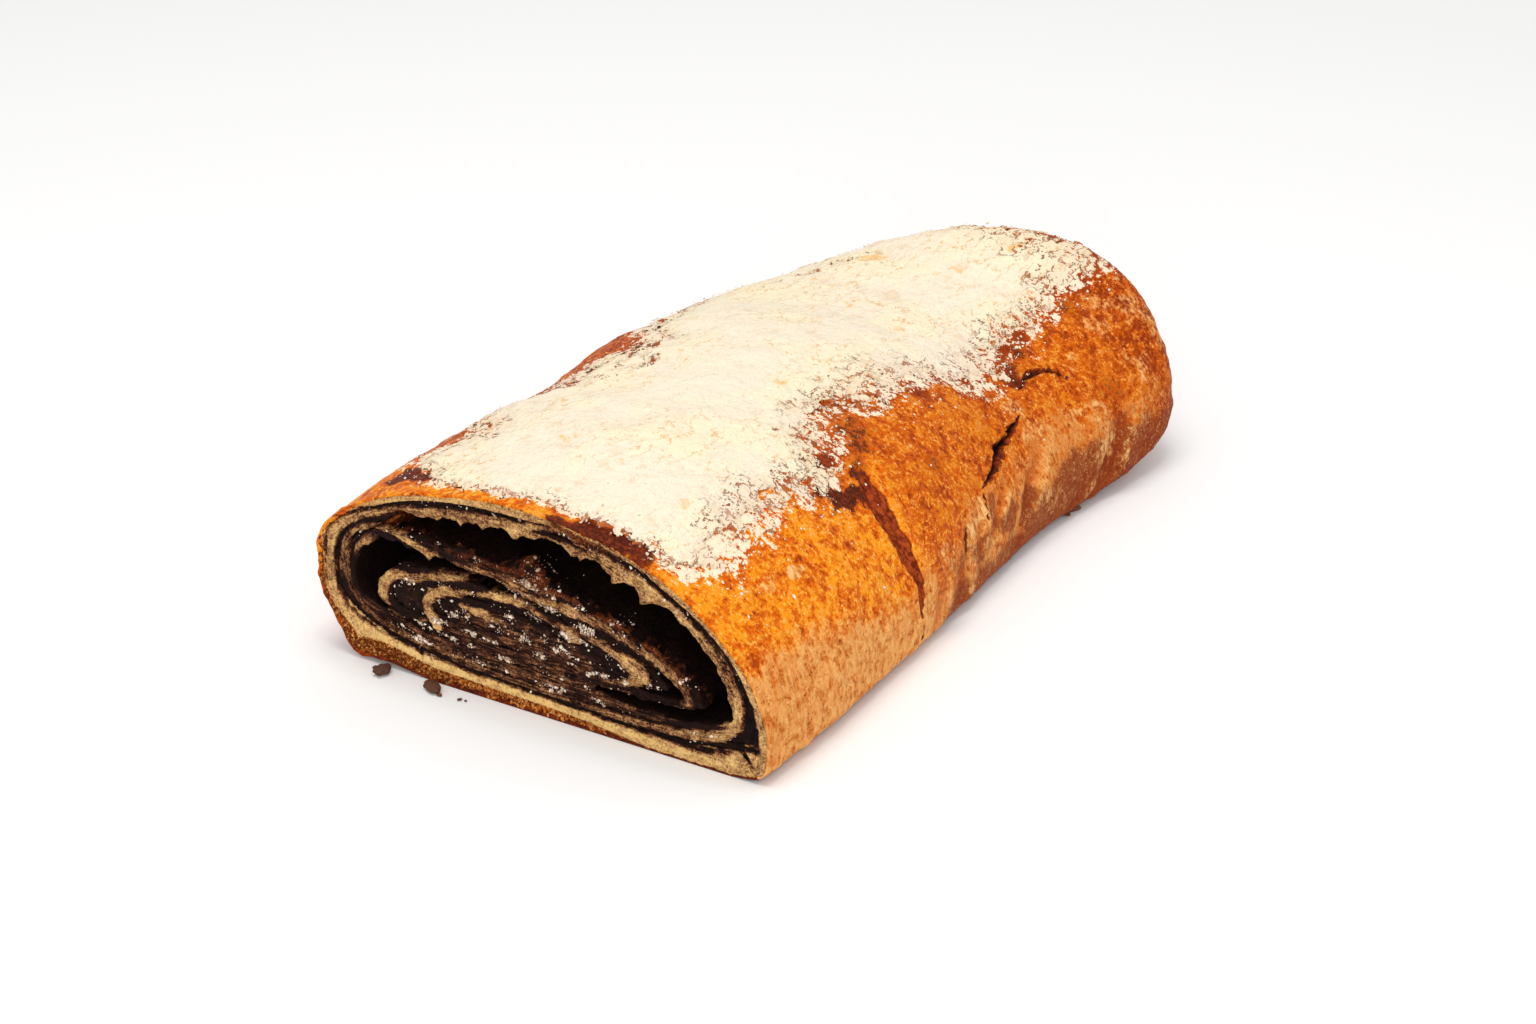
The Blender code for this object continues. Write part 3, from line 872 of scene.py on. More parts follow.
@dataclass(frozen=True)
class Loaf:
    """The loaf's outside: its outline from the cut to the closed end, and its browned crust."""

    length: float = 203 * MM
    middle_x: float = -1.1 * MM
    crest_offset: float = -1.2 * MM
    left_side_height: float = 25 * MM
    right_side_height: float = 9.3 * MM
    end_length: float = 60 * MM
    end_height_share: float = 0.38
    end_plan_power: float = 2.42
    end_side_power: float = 2.08
    top_power: float = 2.0
    bottom_left_power: float = 3.2
    bottom_right_power: float = 6.0
    settling: float = 0.7 * MM
    swell: tuple = (0.8 * MM, 24 * MM)
    dimple: tuple = (0.3 * MM, 8 * MM)
    settled: float = 6 * MM  # the height below which its weight has pressed the swells flat
    waist: float = 60 * MM
    foot_reach: float = 3.6 * MM
    foot_length: float = 22 * MM
    foot_angle: float = 224.0
    foot_spread: float = 9.0
    seam_angle: float = -28.8
    # distance from the cut, left side, right side and height, in millimetres
    stations: tuple = (
        (0, -61.0, 56.6, 48.8),
        (35, -60.1, 57.3, 52.4),
        (70, -59.2, 56.2, 50.4),
        (105, -61.5, 54.7, 50.4),
        (140, -60.6, 54.0, 45.2),
        (160, -57.5, 58.0, 45.4),
        (180, -52.4, 68.5, 55.4),
        (203, -44.1, 92.0, 86.1),
    )
    tears: tuple = (
        Tear(
            ((47, 71), (42, 69.3), (35, 67.8), (28, 66.9), (20, 66.8), (12, 67.4), (2, 65.6)),
            7.0, 1.8, 0.10, 0.20, 0.36,
        ),
        Tear(((34, 137), (31, 129), (28.5, 121), (25, 116), (22, 106)), 3.6, 2.6, 1.0, 1.1),
        Tear(((40, 143), (44, 150), (43, 157), (37, 161)), 2.2, 1.6, 0.9, 0.6),
        Tear(((4, 66), (0, 66.5), (-8, 67)), 0.7, 0.6, 0.6, 0.5),
        Tear(((21, 105.4), (17, 104.4), (12, 102.8)), 1.1, 0.9, 0.7, 0.9),
        Tear(((16, 93.5), (12, 91.4), (7, 91.9)), 1.3, 0.8, 0.5, 0.9),
    )
    folds: tuple = (
        Fold(10, 127, 11, 3.8, 1.5, 0.65),
        Fold(13, 110, 6, 2.6, 0.8, 0.8),
        Fold(4, 163, 12, 4.0, 1.5, 0.5),
        Fold(-4, 148, 8, 3.6, 0.6, 0.5),
        Fold(9, 98.5, 9, 2.2, 0.8, 0.2),
        Fold(0, 87, 9, 4.0, 0.7, 0.3),
        Fold(1, 75, 9, 3.0, 0.5, 0.2),
    )
    # where the crust is washed out or its glaze is torn off, and, at (9, 136), a painted highlight on a
    # fold's ridge
    pale_spots: tuple = spots(
        (17, 102, 1.6, 5, 1), (12.5, 97, 5, 2.6, 0.85), (13, 83, 8, 3, 0.55), (9, 136, 3.5, 8, 0.75),
        (24, 157, 7, 5, 0.55), (15, 162, 4, 7, 0.6), (24, 182, 4, 9, 0.5), (12, 179, 4, 7, 0.45),
        (45, 190, 7, 8, 0.55), (32, 192, 5, 8, 0.5), (55, 183, 5, 5, 0.45), (46, 178, 3, 6, 0.5),
        (28, 138, 5, 3, 0.5), (38, 136, 5, 3, 0.6), (43, 166, 3, 4, 0.4), (37, 29, 2.2, 1.2, 1.1),
        (38, 20.5, 4, 2, 0.45), (44, 91, 6, 1.6, 0.7),
    )
    dark_spots: tuple = spots(
        (49, 57, 3.6, 2.4, 1), (45.5, 59.5, 4.2, 3, 1.3), (43.5, 62.5, 4.4, 3.4, 1.5),
        (43, 66, 4, 3.8, 1.5), (44.5, 69, 2.4, 4, 1.2), (54, 65, 5, 3, 0.7), (52, 75, 6, 4, 0.6),
        (56, 81, 6, 4, 0.55), (53, 110, 3.4, 3.4, 0.7), (36, 93, 4, 3, 0.45), (132, 9.4, 3.4, 4.6, 1.4),
        (126, 8.6, 2.2, 3.4, 1.1), (145, 27, 6, 4, 0.5), (136, 66, 12, 5, 0.4), (122, 82, 8, 5, 0.48),
        (130, 111, 8, 4, 0.4), (137, 170, 7, 4, 0.5), (119, 170, 5, 3, 0.5), (82, 1, 2.6, 3, 0.9),
        (76, 1.4, 3, 4, 1), (69, 1.8, 3.4, 4, 1), (62, 2.6, 3, 3, 0.8), (56, 160, 3, 3, 0.6),
        (53, 155, 3.4, 3, 0.6), (49, 147, 3.6, 3.2, 0.62), (45, 145, 3, 3, 0.7), (27, 170, 4, 6, 0.35),
        (58, 176, 4, 3, 0.5), (10, 137, 3, 8, 0.3),
    )
    # where shade is painted on the crust in a muted brown: in the folds low on the side
    painted_shade_spots: tuple = spots(
        (12, 127, 2.6, 6, 0.8), (5, 123.5, 4, 5, 0.9), (12, 108, 2.4, 5, 0.7), (6, 114, 6, 4, 0.8),
        (6, 98, 8, 4, 0.7), (7, 87, 7, 3, 0.6), (13, 169, 2.2, 5, 0.7), (5, 163.5, 2.4, 6, 0.8),
        (48, 198, 6, 12, 0.5), (62, 190, 6, 6, 0.5),
    )
    # where the sugar lies thin enough for the browned crust to show through it
    sugar_gaps: tuple = spots(
        (139, 26, 8, 5, 0.8), (130, 33, 8, 3, 0.75), (130, 23, 6, 3, 0.6), (140, 66, 8, 6, 0.8),
        (129, 75, 8, 4, 0.75), (122, 83, 6, 4, 0.9), (118, 90, 6, 3, 0.85), (111, 79, 5, 3, 0.8),
        (134, 90, 9, 4, 0.8), (117, 70, 6, 3, 0.5), (130, 111, 9, 4, 0.75), (119, 24, 6, 2, 0.45),
        (122, 158, 12, 2, 0.65), (118, 172, 8, 2, 0.75), (133, 9, 3, 5, 0.9), (56, 72, 8, 5, 0.85),
        (62, 82, 7, 4, 0.8), (59, 94, 8, 5, 0.6), (54, 110, 5, 4, 0.8), (64, 66, 6, 5, 0.5),
        (58, 100, 7, 4, 0.6), (70, 3, 4, 7, 0.6), (62, 5, 5, 4, 0.6), (56, 50, 7, 4, 0.5),
        (56, 182, 9, 5, 0.5),
    )
    # where fat has drawn up into the sugar and stained it
    stains: tuple = spots(
        (97, 27, 2.4, 3.4, 1), (83, 24, 1.4, 1.8, 0.9), (88, 31, 1.2, 1.4, 0.6), (65, 21, 1.2, 1.8, 0.8),
        (78, 82, 1.6, 1.8, 0.8), (74, 135, 1.6, 1.8, 0.7), (92, 140, 2, 2.6, 0.7), (103, 152, 2, 4, 0.8),
        (112, 155, 2.4, 2.6, 0.8), (86, 167, 2.2, 2.2, 0.7), (86, 174, 2.4, 2.4, 0.9),
        (112, 172, 2.4, 5, 0.9), (83, 185, 3, 2, 0.9), (96, 191, 1.4, 4, 0.7), (108, 184, 1.8, 4, 0.6),
        (114, 180, 2, 4, 0.6),
    )
    # distance from the cut in mm, and the angle below which the crust is tan
    tan_edge: tuple = (
        (0, 23), (14, 21), (24, 20), (36, 16), (50, 11), (64, 8), (70, 12), (80, 12), (90, 15),
        (100, 21), (110, 19), (120, 20), (136, 27), (150, 28), (163, 18), (180, 20), (203, 16),
    )
    # distance from the cut in mm, and the angle down to which sugar lies on each side
    sugar_right: tuple = (
        (0, 53), (5, 51), (15, 49), (25, 50), (34, 51), (46, 49), (56, 47), (63, 53), (73, 58),
        (83, 63), (95, 59), (108, 58), (119, 55), (127, 48), (144, 49), (156, 55), (165, 57),
        (173, 59), (180, 62), (188, 61), (203, 60),
    )
    sugar_left: tuple = (
        (0, 116), (3, 118), (6.5, 121), (11, 125), (14, 134), (18, 139), (22, 136), (28, 128), (36, 133),
        (42, 143), (50, 144), (56, 138), (64, 131), (75, 136), (83, 134), (91, 126), (97, 122),
        (106, 132), (116, 140), (130, 147), (150, 148), (175, 146), (203, 130),
    )
    # angle in degrees, and the distance from the cut at which the sugar starts
    sugar_front: tuple = (
        (40, 5.2), (51, 4.9), (61, 3.3), (68, 2.4), (77, 4.1), (83, 3.3), (93, 3.3), (106, 2.6),
        (118, 3.3), (127, 6.5), (140, 9.0),
    )
    sugar_back: float = 195 * MM

    def section(self, y: Array) -> Section:
        """The loaf's cross-sections.

        Args:
            y: their distances from the cut.

        Returns:
            Their sizes.
        """
        ys, left, right, height = np.array(self.stations, float).T * MM
        left, right, height = (smooth_through(y, ys, sizes) for sizes in (left, right, height))
        middle = (left + right) / 2
        tip = self.end_height_share * height
        along = np.clip((y - (self.length - self.end_length)) / self.end_length, 0.0, 1.0)
        narrowing = (1 - along**self.end_plan_power) ** (1 / self.end_plan_power)
        lowering = (1 - along**self.end_side_power) ** (1 / self.end_side_power)
        return Section(
            left=middle + (left - middle) * narrowing,
            right=middle + (right - middle) * narrowing,
            height=tip + (height - tip) * lowering,
            crest_x=middle + self.crest_offset * narrowing,
            left_side=tip + (self.left_side_height - tip) * lowering,
            right_side=tip + (self.right_side_height - tip) * lowering,
            base=tip * (1 - lowering),
        )

    def bare(self, angle: Array, y: Array) -> Array:
        """The loaf's outside before its relief.

        Args:
            angle: angles round the loaf, in radians.
            y: distances from the cut.

        Returns:
            The places there.
        """
        angle, y = np.broadcast_arrays(angle, y)
        at = self.section(y)
        cosine, sine = np.cos(angle), np.sin(angle)
        rightwards, upwards = cosine >= 0, sine >= 0
        side = np.where(rightwards, at.right_side, at.left_side)
        reach = np.where(rightwards, at.right - at.crest_x, at.crest_x - at.left)
        rise = np.where(upwards, at.height - side, side - at.base)
        lower_power = np.where(rightwards, self.bottom_right_power, self.bottom_left_power)
        power = np.where(upwards, self.top_power, lower_power)
        x = at.crest_x + np.sign(cosine) * reach * np.abs(cosine) ** (2 / power)
        z = side + np.sign(sine) * rise * np.abs(sine) ** (2 / power)
        pressed = (z - self.settling) * at.height / (at.height - self.settling)
        return np.stack([x, y, np.maximum(pressed, 0.0)], axis=-1)

    def outward(self, angle: Array, y: Array) -> Array:
        """The directions that the outside faces.

        Args:
            angle: angles round the loaf, in radians.
            y: distances from the cut.

        Returns:
            The directions there.
        """
        angle, y = np.broadcast_arrays(angle, y)
        turn, travel = 1 * DEGREE, 1 * MM
        round_it = self.bare(angle + turn, y) - self.bare(angle - turn, y)
        near, far = np.maximum(y - travel, 0.0), np.minimum(y + travel, self.length - travel)
        return unit(np.cross(self.bare(angle, far) - self.bare(angle, near), round_it))

    def placed(self, points: Array) -> Array:
        """Points of the loaf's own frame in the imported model's frame."""
        return points - np.array([self.middle_x, self.length / 2, 0.0])

    def skin(self, angle: Array, y: Array) -> Skin:
        """The outside at angles (radians) and distances from the cut."""
        return Skin(angle, y, self.girth(angle), self.bare(angle, y), self.outward(angle, y))

    def broad_relief(self, at: Skin) -> Array:
        """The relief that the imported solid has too: swells, dimples and the foot at the cut.

        Args:
            at: places on the skin.

        Returns:
            How far the outside is raised there.
        """
        rise = self.swell[0] * fractal(at.bare, self.swell[1])
        rise += self.dimple[0] * fractal(at.bare, self.dimple[1])
        foot = self.foot_reach * hump(at.degrees % 360, self.foot_angle, self.foot_spread)
        foot = foot * np.maximum(0.0, 1 - at.y / self.foot_length)
        return rise * np.clip(at.height / self.settled, 0.0, 1.0) + foot

    def girth(self, angle: Array) -> Array:
        """How far round the loaf places are from the right side's widest line.

        Args:
            angle: their angles, in radians.

        Returns:
            The distances, measured at the loaf's waist.
        """
        fine = np.linspace(-60, 340, 1601) * DEGREE
        arc = run_along(self.bare(fine, np.full_like(fine, self.waist)))
        return np.interp(angle, fine, arc - np.interp(0.0, fine, arc))

    def spotted(self, patches: tuple, at: Skin, ragged: Array) -> Array:
        """How strongly spots mark each place.

        Args:
            patches: the spots.
            at: places on the skin.
            ragged: relief that makes the edges of the spots uneven.

        Returns:
            The strongest spot's value at each place, from 0.
        """
        strongest = np.zeros(at.y.shape)
        for spot in patches:
            along = (at.y - spot.y * MM) / (spot.wide * MM)
            off = np.hypot(along, (at.arc - self.girth(spot.angle * DEGREE)) / (spot.high * MM))
            strongest = np.maximum(strongest, spot.strength * ease(1.5, 0.4, off + 1.1 * ragged))
        return strongest

    def sugar_margin(self, at: Skin) -> Array:
        """How far inside the edge of the sugar places are.

        Args:
            at: places on the skin.

        Returns:
            The distances, below 0 outside the sugar.
        """
        right = at.arc - self.girth(through(at.y / MM, self.sugar_right) * DEGREE)
        left = self.girth(through(at.y / MM, self.sugar_left) * DEGREE) - at.arc
        front = at.y - through(at.degrees, self.sugar_front) * MM
        return -most(-right, -left, -front, at.y - self.sugar_back)


@dataclass(frozen=True)
class CrustPiece:
    """The browned skin of the loaf, with its tears, folds, blisters and granules."""

    loaf: Loaf
    row_spacing: float = 0.85 * MM
    end_rows: int = 84
    # angle in degrees, and the spacing of the columns there in millimetres
    column_spacing: tuple = ((62, 0.5), (70, 1.1), (128, 1.1), (134, 0.75), (200, 0.75), (215, 2.2))
    # how far inside the skin, and how far from the cut, the crust turns in at the cut
    lip: tuple = (
        (1.4 * MM, 0.9 * MM), (0.7 * MM, 0.3 * MM), (0.25 * MM, 0.05 * MM), (0.05 * MM, 0.12 * MM),
    )
    grain_height: float = 0.14 * MM
    blister_height: float = 0.28 * MM
    crag_height: float = 0.7 * MM
    foot_height: float = 0.35 * MM
    brim_height: float = 0.45 * MM  # of the crust that stands up beside a tear
    ridge_share: float = 0.6  # height of the ridge beside a fold, over the fold's depth
    ridge_offset: float = 1.6  # from the fold to its ridge, in widths of the fold
    cut_zone: float = 3 * MM  # the crust keeps its distance from the cut, nearer to it than this

    def columns(self) -> Array:
        """Angles round the loaf, close together on the right side, which shows most.

        Returns:
            The angles, in radians.
        """
        fine = np.linspace(self.loaf.seam_angle, self.loaf.seam_angle + 360, 2401)
        arc = self.loaf.girth(fine * DEGREE)
        spacing = through(fine, self.column_spacing) * MM
        count = np.concatenate([[0.0], np.cumsum(np.diff(arc) / spacing[1:])])
        return np.interp(np.linspace(0, count[-1], int(count[-1])), count, fine) * DEGREE

    def rows(self) -> Array:
        """Distances from the cut, even along the side and round the closed end.

        Returns:
            The distances.
        """
        straight = self.loaf.length - self.loaf.end_length
        body = np.arange(0.5 * MM, straight, self.row_spacing)
        quarter = np.linspace(0, 1, self.end_rows) * TURN / 4
        end = straight + self.loaf.end_length * np.sin(quarter) ** (2 / self.loaf.end_plan_power)
        return np.concatenate([body, end])

    def tear_marks(self, tear: Tear, at: Skin, rough: Array) -> tuple:
        """How far across and how far along a tear each place is.

        Args:
            tear: the tear.
            at: places on the skin.
            rough: relief that makes the tear's edges uneven.

        Returns:
            The distance to its middle over its half width, its local size from 0 to 1, and the
            distance to its middle, below 0 on one side of it.
        """
        angles, distances = np.array(tear.path, float).T
        stops = np.linspace(0, 1, len(angles))
        shares = np.linspace(0, 1, 41)
        line_arc = self.loaf.girth(smooth_through(shares, stops, angles) * DEGREE)
        line_y = smooth_through(shares, stops, distances) * MM
        near = np.full(at.y.shape, np.inf)
        share, side = np.zeros((2, *at.y.shape))
        for i in range(len(shares) - 1):
            run = np.array([line_arc[i + 1] - line_arc[i], line_y[i + 1] - line_y[i]])
            off_a, off_y = at.arc - line_arc[i], at.y - line_y[i]
            u = np.clip((off_a * run[0] + off_y * run[1]) / (run @ run), 0, 1)
            gap_a, gap_y = off_a - u * run[0], off_y - u * run[1]
            gap = np.hypot(gap_a, gap_y)
            closer = gap < near
            near = np.where(closer, gap, near)
            share = np.where(closer, (i + u) / (len(shares) - 1), share)
            side = np.where(closer, np.sign(gap_a * run[1] - gap_y * run[0]), side)
        size = 0.12 + 0.88 * np.sin(np.pi * share ** (math.log(0.5) / math.log(tear.widest)))
        half = tear.width * MM / 2 * size * (1 + tear.raggedness * rough)
        return near / np.maximum(half, 0.15 * MM), size, side * near

    def folded(self, at: Skin) -> tuple:
        """The soft folds low on the side.

        Args:
            at: places on the skin.

        Returns:
            Their relief, and how far each place lies in a crease and on the ridge beside it.
        """
        relief, crease, ridge = np.zeros((3, *at.y.shape))
        for fold in self.loaf.folds:
            up = hump(at.degrees, fold.angle, fold.reach)
            middle = (fold.y + fold.lean * (at.degrees - fold.angle)) * MM
            off = (at.y - middle) / (fold.width * MM)
            beside = off - self.ridge_offset
            relief += fold.depth * MM * up * (self.ridge_share * hump(beside) - hump(off))
            crease = np.maximum(crease, hump(off) ** 2 * up)
            ridge = np.maximum(ridge, hump(beside) ** 2 * up)
        return relief, crease, ridge

    def torn(self, at: Skin) -> tuple:
        """The tears in the crust.

        Args:
            at: places on the skin.

        Returns:
            Their relief, how far each place lies in a tear, and how much painted shade darkens it in a
            tear's depth and along one edge.
        """
        relief, torn, deep = np.zeros((3, *at.y.shape))
        rough = fractal(at.bare, 3.0 * MM, 7, 3)
        for tear in self.loaf.tears:
            across, size, side = self.tear_marks(tear, at, rough)
            inside = np.clip(1 - across, 0.0, 1.0)
            floor = inside ** (0.6 if tear.darkness < 0.5 else 1.0)
            relief += self.brim_height * size * hump(across, 1.35, 0.5) - tear.depth * MM * size * floor
            torn = np.maximum(torn, ease(0.0, 0.25, inside))
            # painted shade in the tear's depth, and along its edge on one side
            shade = tear.darkness * ease(0.1, 0.7, inside)
            shade += 0.5 * ease(0.2, 1.2, side / (tear.width * MM)) * ease(0.0, 0.2, inside)
            deep = np.maximum(deep, np.clip(shade, 0.0, 1.0))
        return relief, torn, deep

    def build(self) -> bpy.types.Object:
        """Models the crust.

        Returns:
            The piece, with marks for its finish.
        """
        loaf = self.loaf
        y, angle = np.meshgrid(self.rows(), self.columns(), indexing="ij")
        at = loaf.skin(angle, y)
        folds, crease, ridge = self.folded(at)
        tears, torn, deep = self.torn(at)
        crag = ease(7 * MM, 0.5 * MM, at.height) * ease(30 * MM, 2 * MM, y)
        crag *= ease(195, 205, at.degrees)
        left = ease(166, 180, at.degrees) * ease(27 * MM, 20 * MM, at.height)
        left *= ease(14 * MM, 1 * MM, y)
        foot = ease(4 * MM, 0.0, at.height) * ease(30, -10, at.degrees)
        detail = self.grain_height * fractal(at.bare, 2.6 * MM, 3, 3)
        detail += self.blister_height * ease(0.1, 0.6, fractal(at.bare, 5.0 * MM, 5, 2))
        detail += np.maximum(crag, 0.8 * left) * self.crag_height * fractal(at.bare, 2.2 * MM, 11, 3)
        detail += foot * self.foot_height * fractal(at.bare, 3.0 * MM, 13, 2) + folds + tears
        off_floor = np.clip(at.height / (3 * MM), 0.0, 1.0)
        skin = at.bare + at.out * (loaf.broad_relief(at) + detail * off_floor)[..., None]
        skin[..., 2] = np.maximum(skin[..., 2], 0.0)
        skin[..., 1] = np.clip(np.where(y < self.cut_zone, y, skin[..., 1]), 0.0, loaf.length)
        skin[-1] = skin[-1].mean(axis=0)
        marks = self.marks(at)
        marks["tear"], marks["deep"] = torn, deep
        marks["burnt"] = np.maximum(marks["burnt"], 0.9 * crag)
        # painted shade: the folds' creases darker in the russet mark, their ridges less so
        marks["russet"] = np.clip(marks["russet"] + 0.5 * crease - 0.5 * ridge, 0, 1)
        # painted highlight on the folds' ridges, in the pale mark
        marks["pale"] = np.maximum(marks["pale"], 0.55 * ridge)
        flat_out = unit(at.out[0] * (1, 0, 1))
        lips = [skin[0] - flat_out * inset for inset, _ in self.lip]
        for row, (_, back) in zip(lips, self.lip):
            row[:, 1] = back
            row[:, 2] = np.maximum(row[:, 2], 0.0)
        skin = np.concatenate([np.array(lips), skin])
        marks = {name: np.concatenate([np.repeat(v[:1], len(lips), 0), v]) for name, v in marks.items()}
        return lattice("crust", loaf.placed(skin), marks, Facing.FLIPPED)

    def marks(self, at: Skin) -> dict:
        """Where the crust is tan, russet, burnt, dusted and washed out, and where shade is painted on it
        low on the sides and in the folds, some of it in the russet and burnt marks.

        Args:
            at: places on the skin.

        Returns:
            Values from 0 to about 1 at each place, by name.
        """
        loaf, degrees = self.loaf, at.degrees
        y, height, margin = at.y / MM, at.height / MM, loaf.sugar_margin(at) / MM
        broad = fractal(at.bare, 16 * MM, 21, 3)
        ragged = fractal(at.bare, 6 * MM, 23, 4)
        # painted shade low on the left side, and low on the side far from the cut
        left_low_shade = ease(176, 196, degrees)
        low_far_shade = ease(15, 2, height) * ease(75, 125, y)
        left = ease(112, 122, degrees) * (1 - 0.5 * ease(140, 158, degrees))
        edge = (at.arc - loaf.girth(through(y, loaf.tan_edge) * DEGREE)) / MM
        tan = ease(9, -7, edge + 3 * ragged)
        tan *= 1 - 0.25 * ease(66, 80, y) - 0.3 * ease(160, 182, y)
        # painted shade: low on the side far from the cut, low at the far end on the right, low on the left,
        # and along the folds
        painted_shade = most(
            0.95 * ease(14, 4, height - 9 * ease(112, 150, y) + 3 * ragged) * ease(70, 86, y),
            0.7 * ease(192, 199, y) * ease(52, 30, degrees),
            0.55 * left_low_shade * ease(10, 30, y),
            loaf.spotted(loaf.painted_shade_spots, at, ragged),
        )
        far = ease(140, 196, y + 10 * broad)
        ring = ease(-9, -1, margin + 4 * ragged) * ease(40, 70, y)
        # russet at the far end, from about 70 mm on, by the sugar's edge and on the left, plus painted
        # shade low on the side far from the cut and low on the left
        russet = most(
            0.95 * far + 0.4 * low_far_shade + 0.25 * ease(0.1, 0.5, broad) + 0.5 * left_low_shade,
            0.75 * ring * ease(66, 56, degrees),
            0.95 * left * ease(16, 30, y),
            0.50 * ease(64, 80, y + 5 * broad),
        )
        russet *= 1 - 0.45 * tan * ease(70, 90, y)
        under = ease(2.5, 0.6, height) * ease(0.5, 4, y)
        by_sugar = ease(-5, 0.5, margin + 3 * ragged) * ease(30, 48, y)
        left_edge = ease(166, 180, degrees) * ease(27, 20, height)
        # burnt underneath, by the sugar, in dark spots and at the left edge, plus painted shade low on the
        # side far from the cut
        burnt = most(
            0.75 * under + 0.4 * low_far_shade * ease(10, 2, height),
            0.54 * by_sugar * ease(-0.35, 0.35, broad),
            loaf.spotted(loaf.dark_spots, at, ragged),
            0.62 * left_edge * ease(16, 2, y),
        )
        pale = loaf.spotted(loaf.pale_spots, at, ragged) * (1 - burnt)
        dust = ease(-11, 1, margin + 5 * ragged)
        dust = (0.60 * dust**2 + 0.06 * ease(-30, -4, margin)) * (1 - 0.55 * burnt)
        dust += 0.17 * left * ease(-12, -1, margin) * ease(10, 30, y)
        dust *= ease(-2, 2.5, y - 2.5 * ease(62, 70, degrees))
        return {"tan": tan, "russet": russet, "burnt": burnt, "dust": dust, "pale": pale, "painted_shade": painted_shade}


# ---------------------------------------------------------------- the roll inside


@dataclass(frozen=True)
class Streak:
    """A band seen on the cut, along points of x, z, width in millimetres and strength in percent."""

    path: tuple
    soft: float = 0.34 * MM

    def share(self, flat: Array, rough: Array) -> tuple[Array, Array]:
        """How far inside the band places are.

        Args:
            flat: the places (x, z).
            rough: relief that makes the band's edges uneven.

        Returns:
            A share from 0 outside to 1 inside, and the band's strength there.
        """
        path = np.array(self.path, float) * (MM, MM, MM, 0.01)
        inside = np.full(flat.shape[:-1], -np.inf)
        strength = np.zeros(flat.shape[:-1])
        for near, far in zip(path[:-1], path[1:]):
            run = (far - near)[:2]
            u = np.clip(((flat - near[:2]) @ run) / (run @ run), 0, 1)
            gap = np.linalg.norm(flat - near[:2] - u[..., None] * run, axis=-1)
            depth = (near[2] + u * (far[2] - near[2])) / 2 - gap
            strength = np.where(depth > inside, near[3] + u * (far[3] - near[3]), strength)
            inside = np.maximum(inside, depth)
        return ease(-self.soft, self.soft, inside + rough), strength


